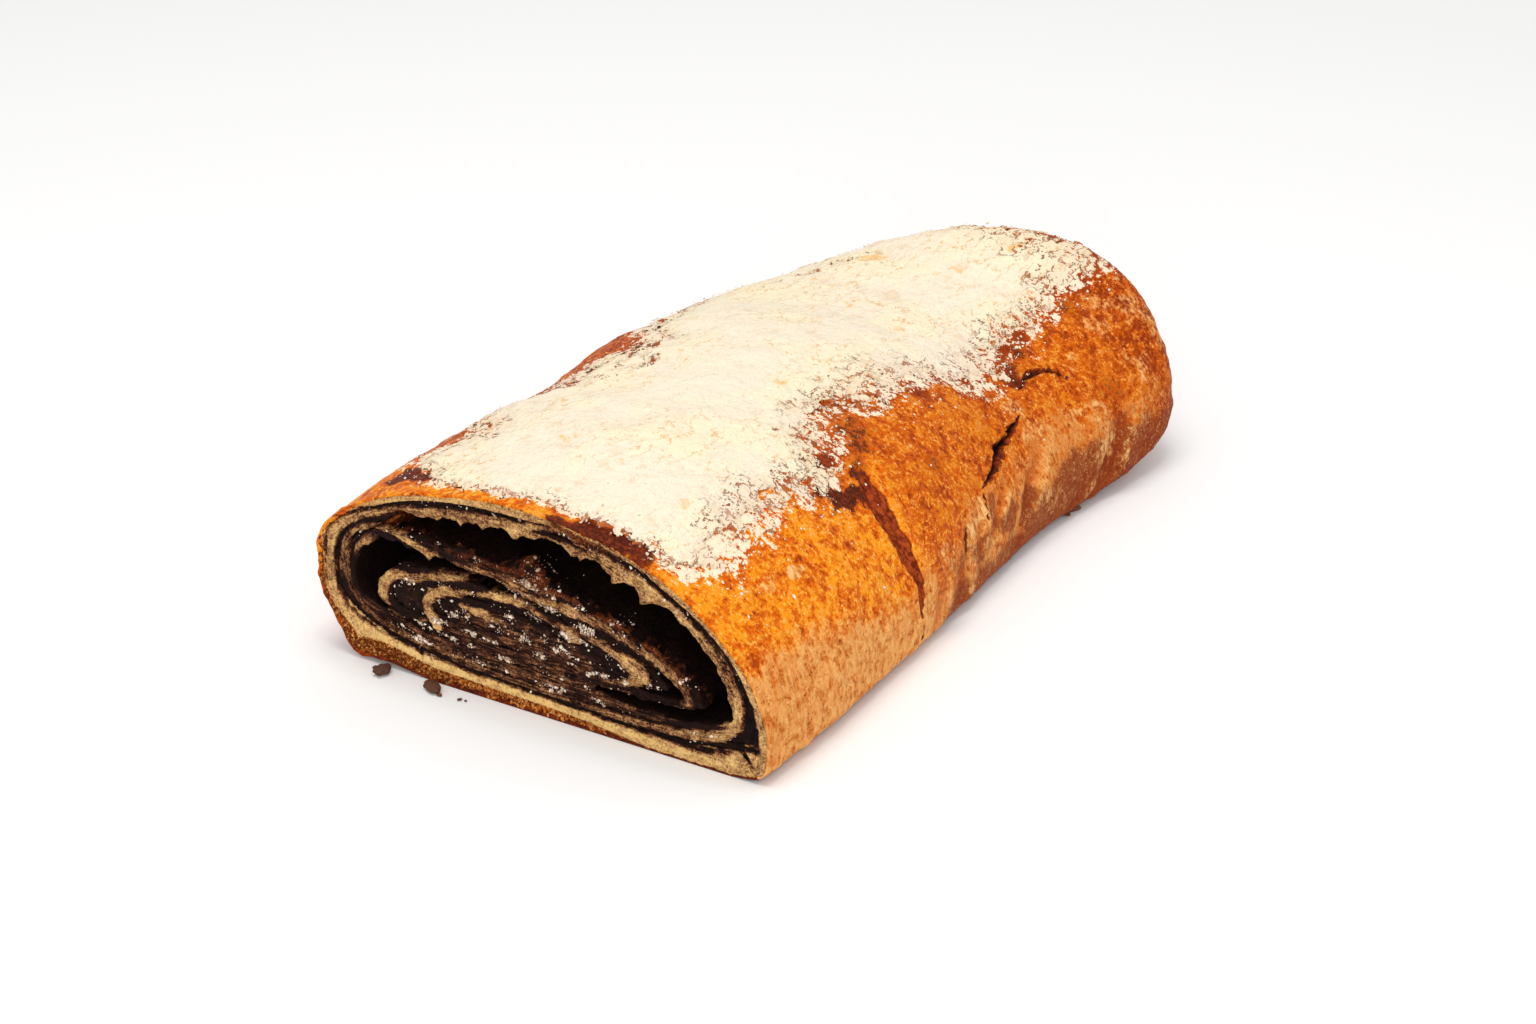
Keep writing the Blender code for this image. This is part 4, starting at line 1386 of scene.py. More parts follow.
@dataclass(frozen=True)
class CutPattern:
    """Where dough, chocolate and rusty crumbs show on the cut."""

    chocolate: float = 0.06  # how light plain chocolate is
    dough: tuple = (
        # the sheet, from the lower left round the outside and inwards
        Streak(((-54.5, 11.5, 1.6, 45), (-56.5, 16, 2.2, 60), (-57, 20, 2.2, 62), (-56.8, 24, 1.9, 62),
            (-56.4, 28, 1.9, 62), (-54.8, 31.5, 2, 60), (-52, 34, 2, 60), (-48, 36.3, 2, 55),
            (-44, 38, 2, 55), (-40.5, 39.2, 1.8, 50), (-36, 41, 1.3, 45), (-30, 42, 1.4, 42),
            (-25, 43.2, 1.4, 48), (-20, 42.9, 2.6, 50), (-15, 43.4, 2.4, 52), (-10, 44.1, 2.4, 55),
            (-6, 43.8, 3.6, 70), (-2, 45.2, 1.8, 60), (2, 46, 0.8, 40), (7, 45.4, 1, 40),
            (11, 44.4, 1.6, 42), (15, 43.2, 2, 50), (19, 41.6, 2.6, 60), (23, 40, 3.2, 65),
            (27, 37.8, 4.2, 70), (30, 36.4, 3.2, 66), (34, 35, 2.4, 66), (37, 33, 2, 60),
            (40, 31.2, 1.8, 60), (43, 28.9, 1.7, 50), (46, 26.3, 1.6, 45), (47.9, 23.6, 1.8, 42),
            (49, 20, 2.3, 55), (49.4, 16, 2.8, 66), (48.5, 12.5, 3, 62), (46.5, 9.8, 2.8, 58),
            (42, 7.7, 2.8, 60), (36, 6.7, 2.4, 60), (30, 6.1, 1.8, 50), (22, 5.6, 1.8, 50),
            (15, 5.6, 1.6, 42), (8, 5.9, 1.2, 35), (0, 6.1, 1.4, 36), (-8, 6.3, 1, 30), (-16, 6.8, 1.4, 38),
            (-24, 8, 2.4, 42), (-30, 9, 2.6, 42), (-38, 9.5, 2, 38), (-44, 11, 1.4, 30),
            (-49, 13.5, 1.4, 28), (-52.5, 18, 1.8, 26), (-53.8, 22, 2.2, 34), (-53.4, 26, 2.4, 38),
            (-52.6, 29, 1.8, 42), (-50.8, 31.6, 1.8, 50), (-48, 33.6, 2, 50), (-44, 34.8, 1.8, 48),
            (-40, 34.9, 1.8, 48), (-37, 34.1, 1.8, 55), (-34, 32.9, 1.6, 60), (-30.8, 31.6, 2.2, 62),
            (-26, 31, 1.6, 52), (-20, 30.8, 1.2, 45), (-14, 31.2, 1.2, 40), (-8, 31.6, 1.4, 40),
            (-3, 31, 1.2, 40), (2, 30, 1, 35))),
        # the left loop and the turn that it leads into
        Streak(((-34, 11.5, 1.2, 25), (-38.5, 12.8, 1.6, 32), (-41.8, 14.8, 2, 42), (-43, 17, 2.2, 55),
            (-43.3, 19.3, 2.7, 68), (-42.8, 21.6, 3, 70), (-40.8, 23.7, 2.6, 64), (-38, 24.4, 2.2, 54),
            (-34.5, 24, 2.1, 60), (-31, 25.5, 1.8, 54), (-26, 27, 1.8, 54), (-20, 28.4, 1.8, 50),
            (-15, 29.2, 1.6, 42), (-10, 29.6, 1.8, 40), (-6, 29.3, 2.2, 42), (-2, 28.2, 2, 46),
            (2, 28, 2.2, 50), (8, 27.6, 2.6, 62), (12, 27, 2, 50), (17, 26, 1.8, 44), (22, 24.5, 1.9, 46),
            (27, 22.6, 2.1, 48), (31, 20.8, 2.2, 50), (34.5, 18.3, 2.6, 42), (36.3, 15.5, 3.2, 34),
            (36, 12.5, 3.4, 28), (33, 10, 3, 24), (28, 8.5, 2.4, 20), (18, 7.8, 1.6, 20), (8, 8.6, 1.2, 24),
            (-6, 8.6, 1.6, 30), (-18, 9, 1.2, 30))),
        # the inner loop
        Streak(((15, 13.2, 1, 40), (20, 14, 1.4, 50), (23, 15.3, 2.6, 60), (25, 17, 4, 60),
            (24.5, 18.6, 4, 60), (21.5, 19.6, 3, 68), (18, 20.9, 2.2, 56), (14, 22.3, 1.7, 52),
            (10, 23.4, 1.3, 42), (4, 23.5, 1, 34), (0, 24.2, 1.4, 44), (-4, 25.8, 1.7, 56),
            (-8, 26.3, 2, 62), (-13, 26, 1.8, 60), (-18, 25, 1.4, 50), (-22, 24.1, 1.6, 52),
            (-26.5, 23.3, 2.8, 66), (-29.5, 22, 2.6, 62), (-31, 19.5, 2.4, 56), (-30.6, 17, 2.2, 60),
            (-28.5, 14.9, 3.2, 74))),
        # the sheet's inner end, and streaks and scraps of dough in the chocolate
        Streak(((-22, 21.3, 1.4, 55), (-19, 20.9, 2, 64), (-15.5, 20.5, 2.4, 64), (-10, 19.6, 1, 25))),
        Streak(((-20.5, 19.4, 0.7, 40), (-17, 18.4, 0.7, 35), (-14.5, 18.3, 0.7, 30))),
        Streak(((-7, 12, 0.8, 30), (5, 12.6, 0.8, 30), (12, 14, 0.7, 35))),
        Streak(((2, 10.3, 0.6, 30), (14, 11.4, 0.7, 32), (22, 12.4, 0.8, 30))),
        Streak(((-2, 8.4, 0.6, 28), (8, 9.2, 0.6, 30), (20, 10.4, 0.6, 28))),
        Streak(((5.8, 22.2, 2.2, 58), (8.4, 21.6, 2.4, 62))),
        Streak(((-33.5, 14.3, 1.2, 60), (-31.5, 14.8, 1.2, 60))),
        # the pale strip along the bottom
        Streak(((-57.6, 17, 1.6, 60), (-54.6, 12, 2, 66), (-50.5, 9, 2.6, 80), (-45, 7.4, 2.4, 92),
            (-38, 6.1, 2.2, 100), (-30, 5.2, 2, 100), (-20, 4.3, 1.9, 100), (-10, 4.1, 2, 100),
            (0, 3.7, 2, 100), (10, 3.3, 2.2, 100), (16, 2.7, 2.2, 100), (20, 2.4, 2, 100),
            (30, 1.9, 2.2, 95), (40, 1.8, 2, 86), (46, 3, 2.4, 80), (49.5, 4, 4.4, 70), (54, 5.5, 3.4, 62),
            (57, 10, 1.8, 60))),
    )
    dark: tuple = (
        # the wrapped end of the sheet, down the left side
        Streak(((-59, 22, 0.3, 100), (-58.5, 27, 0.6, 100), (-58, 30.5, 0.8, 100), (-56, 33, 0.9, 100),
            (-52.3, 35.9, 0.8, 100), (-47, 38, 0.9, 100), (-42, 40.2, 0.6, 90), (-36, 41.9, 0.4, 80),
            (-30, 42.9, 0.5, 80), (-25, 44, 0.3, 80), (-18, 45, 0.3, 80), (-8, 45.9, 0.4, 80),
            (3, 46.6, 0.3, 80))),
        # the first chocolate, from the upper left down and along the bottom to the lower right
        Streak(((-42, 36.8, 0.3, 100), (-44.5, 36, 0.5, 100), (-47.5, 34.8, 0.7, 100),
            (-50, 33.3, 0.9, 100), (-53.3, 30.8, 0.9, 100), (-55, 28.2, 1, 100), (-55.9, 25, 1.1, 100),
            (-56, 20, 1.2, 100), (-55, 15.5, 1.5, 100), (-53, 12.5, 1.2, 100), (-50, 10.5, 1, 100),
            (-45, 8.9, 0.8, 100), (-38, 7.3, 0.8, 100), (-30, 6.2, 0.8, 100), (-20, 5.2, 0.7, 100),
            (-10, 5, 0.8, 100), (0, 4.8, 0.9, 100), (5, 4.6, 0.9, 100), (12, 4.6, 1, 100),
            (16, 4.1, 0.9, 100), (22, 3.8, 0.8, 100), (28, 4.1, 1, 100), (33, 4.2, 1.5, 100),
            (38, 4.2, 2, 100), (43, 4.6, 2.2, 100), (46, 5.5, 1.8, 100), (48.5, 6.8, 0.8, 100),
            (50.5, 7.6, 1.2, 100), (53.8, 7.6, 1, 100))),
        # the first chocolate down the right side, and the seam at the lower corner
        Streak(((4, 47.2, 0.6, 80), (8, 46.4, 1.2, 60), (12, 45, 2, 60), (17, 44.3, 1.5, 70),
            (22, 43, 1.2, 90), (27, 40.9, 1, 90), (32, 38.1, 1, 90), (37, 35.1, 1, 90), (40, 32.7, 0.8, 80),
            (44, 28.9, 0.7, 80), (48, 24.6, 0.8, 90), (50.2, 21, 1.4, 100), (51.6, 17.5, 2.6, 100),
            (52, 13.5, 3.2, 100), (52.5, 10, 3.2, 90), (53.5, 8, 2.2, 100))),
        Streak(((49, 8.5, 1.2, 100), (50.5, 7, 0.9, 100), (51, 5.5, 1, 100), (52.4, 3.6, 0.6, 100))),
    )
    # grey-brown haze over the chocolate where dough was smeared into it
    haze: tuple = (
        Streak(((-22, 16, 9, 15), (-8, 17, 10, 19), (6, 16, 9, 19), (14, 14.5, 5, 16)), 2.4 * MM),
        Streak(((-38, 10.5, 4, 17), (-20, 9.5, 6, 18), (0, 9, 6, 20), (22, 10, 5, 20)), 1.6 * MM),
        Streak(((-53.5, 20, 3, 18), (-50, 15.5, 3, 16), (-42, 11.5, 3, 20)), 1.2 * MM),
        Streak(((-28, 30, 2.4, 28), (-12, 30.5, 3, 28), (2, 29.8, 3, 24)), 1.0 * MM),
        Streak(((-36, 20, 4, 10), (-35, 17, 4, 12)), 1.0 * MM),
    )
    rust: tuple = (
        Streak(((-28, 33.6, 2.6, 50), (-14, 33, 2, 60), (-3, 34, 5, 80), (8, 31.4, 4.4, 75),
            (18, 29.4, 5, 85), (27, 26.5, 5, 90), (34, 22.6, 4.4, 80), (38.5, 19, 2.6, 60)), 0.8 * MM),
        Streak(((3, 47, 2, 70), (9, 45.6, 2.6, 75), (15, 44.4, 2, 60), (22, 43.2, 1.2, 40)), 0.6 * MM),
        Streak(((-58.9, 22, 1, 30), (-55.4, 15, 1.6, 55), (-52.6, 12, 1.4, 55)), 0.5 * MM),
    )

    def shades(self, flat: Array) -> dict[str, Array]:
        """How light and how rusty the cut is.

        Args:
            flat: places (x, z) in the loaf's frame.

        Returns:
            Values from 0 to 1 at each place, by name: its light, its red, and the share of the
            light that the dark lines leave.
        """
        place = places_of(flat.shape[:-1], flat[..., 0], 0.0, flat[..., 1])
        ragged = 0.42 * MM * (fractal(place, 1.4 * MM, 91, 4) + fractal(place, 5 * MM, 92, 2))
        blotch = fractal(place, 2.6 * MM, 93, 3)
        light, red, left = self.chocolate * np.ones(blotch.shape), np.zeros(blotch.shape), 1.0
        for streak in self.haze:
            share, strength = streak.share(flat, ragged)
            light = np.maximum(light, share * strength * (1 + 0.7 * blotch))
        for streak in self.rust:
            share, strength = streak.share(flat, ragged)
            red = np.maximum(red, share * strength)
        for streak in self.dough:
            share, strength = streak.share(flat, ragged)
            gap = ease(0.62, 0.36, strength) * ease(0.05, 0.5, blotch)
            light = np.maximum(light, share * strength * (1 - 0.65 * gap) * (1 + 0.30 * blotch))
        for streak in self.dark:
            share, strength = streak.share(flat, ragged)
            left = left * (1 - share * strength * (0.62 + 0.34 * ease(-0.35, 0.15, blotch)))
        light = light * left
        return {"light": light, "red": red * (1 - ease(0.3, 0.6, light)), "left": left}


@dataclass(frozen=True)
class Side:
    """Where one turn of the rolled sheet reaches furthest out, to the middle of the dough."""

    reach: float
    centre: float
    thickness: float


@dataclass(frozen=True)
class Hollow:
    """Air under one stretch of the sheet, where the chocolate has sunk away from it."""

    start: float
    end: float
    shares: tuple  # turns, and the share of the space that is air
    depth: float
    drips: tuple = ()  # x, half width and drop of each lobe of dough that hangs from its ceiling


@dataclass(frozen=True)
class Roll:
    """The rolled sheet of dough, by turns counted inwards from the middle of the underside."""

    loaf: Loaf
    start: float = -0.17
    end: float = 4.62
    top_left_power: float = 2.3
    lower_power: float = 2.5
    falls: tuple = (2.08, 2.08, 1.7, 1.6, 1.8)
    quarters: tuple = (("bottom", 0.0, -1), ("left", 0.25, -1), ("top", 0.5, 1), ("right", 0.75, 1))
    bottom: tuple = (
        Side(2.0, 0, 3.0), Side(6.0, 0, 1.8), Side(9.4, 0, 1.8), Side(12.8, 0, 1.8), Side(16.0, -4, 1.6),
    )
    left: tuple = (
        Side(-57.9, 22.5, 3.0), Side(-54.1, 22, 2.2), Side(-51.8, 21, 1.4), Side(-42.5, 19, 3.8),
        Side(-31.0, 18.6, 3.0),
    )
    top: tuple = (
        Side(48.2, -4, 3.0), Side(44.0, -5, 2.6), Side(33.1, -41, 2.2), Side(26.7, -20, 2.4),
        Side(22.9, -18, 1.8),
    )
    right: tuple = (
        Side(55.4, 10, 3.0), Side(49.2, 13, 3.4), Side(37.6, 14, 2.8), Side(25.3, 17, 3.6),
        Side(12.0, 19, 2.0),
    )
    hollows: tuple = (
        Hollow(
            1.372, 1.97, ((1.372, 0.95), (1.50, 0.92), (1.56, 0.84), (1.97, 0.80)), 84 * MM,
            ((-36.5, 3.0, -1.5), (-28.5, 2.0, 0.2), (-20.9, 0.8, 1.7), (-15.2, 0.8, 0.9),
             (-6.6, 1.5, 1.6), (3.5, 3.6, -2.0), (8.4, 0.9, 0.8), (10.6, 0.5, 1.6), (14, 3.0, -2.0),
             (19.2, 0.9, 1.6), (22.8, 1.8, -1.2), (26.6, 1.0, 1.9), (31, 2.6, -1.9), (37, 3.0, -1.5),
             (42, 2.4, -1.2)),
        ),
        Hollow(
            2.15, 2.57, ((2.15, 0.95), (2.57, 0.95)), 52 * MM,
            ((-36.0, 0.8, 0.9), (-33.0, 1.4, -0.3), (-29.8, 0.9, 1.7)),
        ),
        Hollow(2.68, 2.88, ((2.68, 0.5), (2.88, 0.5)), 28 * MM),
    )
    core: tuple = ((-24 * MM, 20 * MM), (12 * MM, 19.5 * MM))
    sags: tuple = ((1.885, 0.06, 1.7 * MM),)  # turns, half width and drop

    def face(self, turns: Array, outer: bool) -> Array:
        """One face of the sheet at the cut, before its waves.

        Args:
            turns: how far along the sheet its places are.
            outer: whether it is the outer face, not the inner.

        Returns:
            The places (x, z).
        """
        thinning = np.minimum(1.0, 0.35 + (self.end - turns) / 0.2)
        reach, centre = {}, {}
        for name, quarter, sign in self.quarters:
            sides = getattr(self, name)
            at = [turn + quarter for turn in range(len(sides))]
            out = np.interp(turns, at, [side.reach * MM for side in sides])
            thick = np.interp(turns, at, [side.thickness * MM for side in sides])
            centre[name] = np.interp(turns, at, [side.centre * MM for side in sides])
            reach[name] = out + sign * thick * thinning / 2 * (1 if outer else -1)
        whole = np.floor(turns)
        quarter = np.floor((turns - whole) * 4)
        swing = (turns - whole) * 4 - quarter
        upper, leftwards = (quarter == 1) | (quarter == 2), quarter < 2
        from_end = (quarter == 0) | (quarter == 2)
        angle = swing * TURN / 4
        sideways = np.where(from_end, np.sin(angle), np.cos(angle))
        endways = np.where(from_end, np.cos(angle), np.sin(angle))
        fall = np.array(self.falls)[np.clip(whole.astype(int), 0, len(self.falls) - 1)]
        power = np.where(upper, np.where(leftwards, self.top_left_power, fall), self.lower_power)
        end_centre = np.where(upper, centre["top"], centre["bottom"])
        end_reach = np.where(upper, reach["top"], reach["bottom"])
        side_centre = np.where(leftwards, centre["left"], centre["right"])
        side_reach = np.where(leftwards, reach["left"], reach["right"])
        x = end_centre + (side_reach - end_centre) * sideways ** (2 / power)
        z = side_centre + (end_reach - side_centre) * endways ** (2 / power)
        for turn, wide, drop in self.sags:
            z = z - drop * hump(turns, turn, wide)
        return np.stack([x, z], axis=-1)

    def faces(self, turns: Array) -> tuple[Array, Array]:
        """Both faces of the sheet at the cut, with the waves of hand-rolled dough.

        Args:
            turns: how far along the sheet their places are.

        Returns:
            The outer and the inner face's places (x, z).
        """
        outer, inner = self.face(turns, True), self.face(turns, False)
        middle, across = (outer + inner) / 2, unit(outer - inner)
        place = places_of(turns.shape, run_along(middle), 0.0, 0.3)
        inwards = ease(0.7, 1.6, turns)
        wave = (0.15 + 0.5 * inwards) * MM * fractal(place, 9 * MM, 31, 2)
        uneven = 1 + 0.45 * inwards * fractal(place, 6 * MM, 33, 3)
        half = np.linalg.norm(outer - inner, axis=-1) / 2 * uneven
        middle = middle + across * wave[:, None]
        return middle + across * half[:, None], middle - across * half[:, None]

    def stops(self, start: float, spacing: float, fineness: int) -> tuple[Array, Array]:
        """Even stops along the sheet's inner face.

        Args:
            start: the turn that they start at.
            spacing: the distance between them.
            fineness: how many steps the face is measured in.

        Returns:
            Their distances from the start, and their turns.
        """
        fine = np.linspace(start, self.end, fineness)
        run = run_along(self.face(fine, False))
        stops = np.arange(0, run[-1], spacing)
        return stops, np.interp(stops, run, fine)

    def emptiness(self, turns: Array, y: Array) -> Array:
        """How much of the space under the sheet is air.

        Args:
            turns: how far along the sheet the places are.
            y: their distances from the cut.

        Returns:
            The share that is air.
        """
        share = np.zeros(np.broadcast(turns, y).shape)
        for hollow in self.hollows:
            along = np.clip((turns - hollow.start) / (hollow.end - hollow.start), 0.0, 1.0)
            bulge = np.minimum(1.0, 16 * np.sin(np.pi * along)) * through(turns, hollow.shares)
            closing = np.sqrt(np.clip(1 - (y / hollow.depth) ** 2, 0.0, 1.0))
            share = np.maximum(share, bulge * closing)
        return share

    def painted_light(self, turns: Array, y: Array, fade: tuple[float, float]) -> Array:
        """The painted light on the left end of the large hollow, a little behind the cut, where light falls
        in; it is kept in the red mark and painted in rust colours.

        Args:
            turns: how far along the sheet each column is.
            y: distance from the cut of each place.
            fade: the turns between which the painted light comes on, from the right.

        Returns:
            The painted light at each place.
        """
        red = 1.8 * ease(1.36, 1.39, turns) * ease(*fade, turns)
        return red * ease(0.5 * MM, 2 * MM, y) * ease(60 * MM, 20 * MM, y)

    def carried(self, flat: Array, y: Array) -> Array:
        """Places of the cut moved back into the loaf, as its outline changes.

        Args:
            flat: the places (x, z) at the cut.
            y: how far back they are moved.

        Returns:
            The places there.
        """
        front, here = self.loaf.section(np.zeros(1)), self.loaf.section(np.clip(y, 0, None))
        widening = (here.right - here.left) / (front.right - front.left)
        x = (here.left + here.right) / 2 + (flat[..., 0] - (front.left + front.right) / 2) * widening
        z = here.base + flat[..., 1] * (here.height - here.base) / front.height
        return places_of(x.shape, x, y, z)


@dataclass(frozen=True)
class WallPiece:
    """The outermost layer of dough where it is cut, from the crust to the first chocolate."""

    roll: Roll
    pattern: CutPattern
    columns: int = 1100
    rows: int = 16
    # x and the thickness of the browned crust along the underside, in millimetres
    browned_below: tuple = (
        (-56, 3.4), (-53, 4.8), (-48, 4.8), (-43, 4.4), (-37, 3.9), (-30, 3.5), (-20, 3.1), (-10, 2.9),
        (0, 2.7), (9, 2.3), (15, 1.8), (20, 1.2), (25, 0.7), (30, 0.5), (57, 0.4),
    )
    # z and the thickness of the browned crust up the left side, in millimetres
    browned_left: tuple = ((6, 2.4), (12, 1.5), (25, 1.6), (28, 1.0), (32, 0.6), (50, 0.45))
    # turns, and how light the dough is where no other band shows
    tones: tuple = (
        (-0.17, 0.60), (-0.10, 0.74), (-0.02, 0.9), (0.10, 0.92), (0.2, 0.64), (0.26, 0.54),
        (0.33, 0.60), (0.38, 0.74), (0.48, 0.72), (0.56, 0.5), (0.66, 0.66), (0.74, 0.6), (0.83, 0.6),
    )
    # how deep the back of the layer runs into the loaf behind its last three rows
    backs: tuple = (0.5 * MM, 3 * MM, 12 * MM)

    def around(self) -> Array:
        """Turns at even distances round the loaf, close together at the corners of the underside.

        Returns:
            The turns.
        """
        small = np.logspace(-10, -2.3, 600)
        start = self.roll.start
        fine = np.unique(np.concatenate([np.linspace(start, start + 1.0, 4001), -small, small]))
        length = run_along(self.roll.loaf.bare(TURN * 0.75 - TURN * fine, np.zeros_like(fine)))
        return np.interp(np.linspace(0, length[-1], self.columns), length, fine)

    def baked(self, points: Array, skin: Array) -> tuple[Array, Array]:
        """How far the crust's brown reaches in from the skin.

        Args:
            points: the layer's places.
            skin: the places of its first row.

        Returns:
            Each place's distance from the skin, and how far that is past the brown.
        """
        below = through(skin[:, 0] / MM, self.browned_below) * MM
        beside = np.where(skin[:, 0] < 0, through(skin[:, 2] / MM, self.browned_left) * MM, 0.45 * MM)
        thick = lerp(below[:, None], beside[:, None], ease(3 * MM, 10 * MM, skin[:, 2]))[:, 0]
        nearest = np.full(points.shape[:-1], np.inf)
        browned = np.zeros(points.shape[:-1])
        for column in range(0, self.columns, 2):
            gap = np.linalg.norm(points - skin[column] * (1, 0, 1), axis=-1)
            browned = np.where(gap < nearest, thick[column], browned)
            nearest = np.minimum(nearest, gap)
        return nearest, nearest - browned

    def build(self) -> bpy.types.Object:
        """Models the cut layer.

        Returns:
            The piece, with marks for its finish.
        """
        roll, loaf = self.roll, self.roll.loaf
        turns = self.around()
        angle, y0 = TURN * 0.75 - TURN * turns, np.zeros(self.columns)
        at = loaf.skin(angle, y0)
        out = unit(at.out * (1, 0, 1))
        skin = at.bare + out * loaf.broad_relief(at)[:, None]
        skin[:, 2] = np.maximum(skin[:, 2], 0.0)
        inner = roll.carried(roll.faces(turns)[1], y0)
        shares = np.concatenate([np.linspace(0.0, 1.0, self.rows), np.ones(len(self.backs))])
        backs = np.concatenate([np.zeros(self.rows), self.backs])
        points = skin[None] + (inner - skin)[None] * shares[:, None, None]
        points -= out[None] * 0.12 * MM * (1 - shares)[:, None, None]
        rough = fractal(points, 1.3 * MM, 41, 3)
        grains = fractal(points, 0.8 * MM, 43, 2)
        depth_in, past_brown = self.baked(points, skin)
        crust = ease(0.3 * MM, -0.3 * MM, past_brown + 0.4 * MM * rough)
        shades = self.pattern.shades(points[..., ::2])
        light = np.maximum(shades["light"], through(turns, self.tones) * shades["left"])
        line = 1 - shades["left"]
        sunk = 0.18 * MM * (1 + rough) + 0.55 * MM * line + crust * 0.45 * MM * (0.5 + rough + grains)
        ends = np.minimum(turns - roll.start, roll.start + 1 - turns)
        sunk += 1.0 * MM * ease(0.004, 0.0, ends) * ease(0.3, 0.5, shares)[:, None]
        points[..., 1] = backs[:, None] + np.maximum(sunk, 0.03 * MM)
        place = places_of(rough.shape, run_along(skin), depth_in, backs[:, None])
        dark = 1 + 0.7 * ease(-22 * MM, -46 * MM, skin[:, 0])
        marks = {"light": light, "red": shades["red"], "crust": crust * (1 - line) * dark, "roll": place}
        return lattice("outer_layer", loaf.placed(points), marks, Facing.FLIPPED)


@dataclass(frozen=True)
class SheetPiece:
    """The rolled sheet inside the outermost layer, thin and uneven, with a ragged ceiling."""

    roll: Roll
    pattern: CutPattern
    start: float = 0.80
    spacing: float = 0.5 * MM
    front_rows: int = 8
    depths: tuple = (1.0, 0.7, 0.45, 0.28, 0.16, 0.09, 0.045, 0.02, 0.006)
    plain_depth: float = 9 * MM

    def over_hollows(self, turns: Array, inner: Array) -> tuple:
        """Where the sheet is the ceiling or the floor of a hollow.

        Args:
            turns: how far along the sheet each column is.
            inner: the inner face's places (x, z).

        Returns:
            How far each column lies over a hollow, how deep it runs, and how far its drips hang.
        """
        reach = np.full(turns.shape, self.plain_depth)
        over, drop = np.zeros((2, *turns.shape))
        for hollow in self.roll.hollows:
            inside = ease(hollow.start - 0.03, hollow.start, turns)
            inside *= ease(hollow.end + 0.03, hollow.end, turns)
            over = np.maximum(over, inside)
            reach = np.maximum(reach, hollow.depth * inside)
            for x, wide, fall in hollow.drips:
                drop += fall * MM * inside * hump(inner[:, 0] / MM, x, wide)
        return over, reach, drop

    def build(self) -> bpy.types.Object:
        """Models the sheet.

        Returns:
            The piece, with marks for its finish.
        """
        roll = self.roll
        stops, turns = roll.stops(self.start, self.spacing, 3000)
        outer, inner = roll.faces(turns)
        over, reach, drop = self.over_hollows(turns, inner)
        count = len(self.depths)
        front = np.linspace(0, 1, self.front_rows)
        shares = np.concatenate([np.zeros(count), front, np.ones(count), [0.0]])
        depths = np.array(self.depths + (0.0,) * self.front_rows + self.depths[::-1] + (1.0,))
        across, facing = shares[:, None], (depths == 0)[:, None]
        y = depths[:, None] * reach[None]
        place = places_of(y.shape, stops, y, across * 3 * MM)
        rough = fractal(place, 1.4 * MM, 51, 3)
        rag = fractal(place * (1, 0.35, 1), 4.5 * MM, 53, 4)
        above = ease(1.84, 1.78, turns) + ease(2.28, 2.34, turns) * ease(2.66, 2.6, turns)
        hang = over * above * ease(0.25, 1.0, across) * ease(16 * MM, 0.0, y)
        drip = hang * (drop + 0.8 * MM * ease(-0.2, 0.8, rag) + 0.55 * MM * rough)
        flat = outer[None] + (inner - outer)[None] * shares[:, None, None]
        flat = flat + unit(inner - outer)[None] * drip[..., None]
        points = roll.carried(flat, y)
        shades = self.pattern.shades(flat)
        ceiling = 0.5 * over * above * ease(0.0, 0.5, across) * (1 + 0.3 * rough)
        ceiling = ceiling * ease(1.36, 1.42, turns) * (1 - ease(2.36, 2.46, turns))
        light = np.maximum(shades["light"], ceiling)
        sunk = 0.22 * MM + 0.34 * MM * (1 - ease(0.1, 0.5, light)) + 0.26 * MM * rough
        sunk = sunk + 0.2 * MM * (1 - np.sin(np.pi * across)) * over
        points[..., 1] += np.where(facing, np.maximum(sunk, 0.0), 0.45 * MM)
        pinch(points)
        back = ease(0.3 * MM, 1.6 * MM, y + 0.6 * MM * rough)
        # painted light on the left end of the large hollow, kept in the red mark
        red = roll.painted_light(turns, y, (1.52, 1.41))
        marks = {
            "light": np.where(facing, light, light * (1 - back) + 0.03 * back),
            "red": np.maximum(red, np.where(facing, shades["red"], 0.0)),
            "crust": np.zeros(y.shape),
            "roll": places_of(y.shape, stops, across * 3 * MM, y),
        }
        return lattice("rolled_sheet", roll.loaf.placed(points), marks)


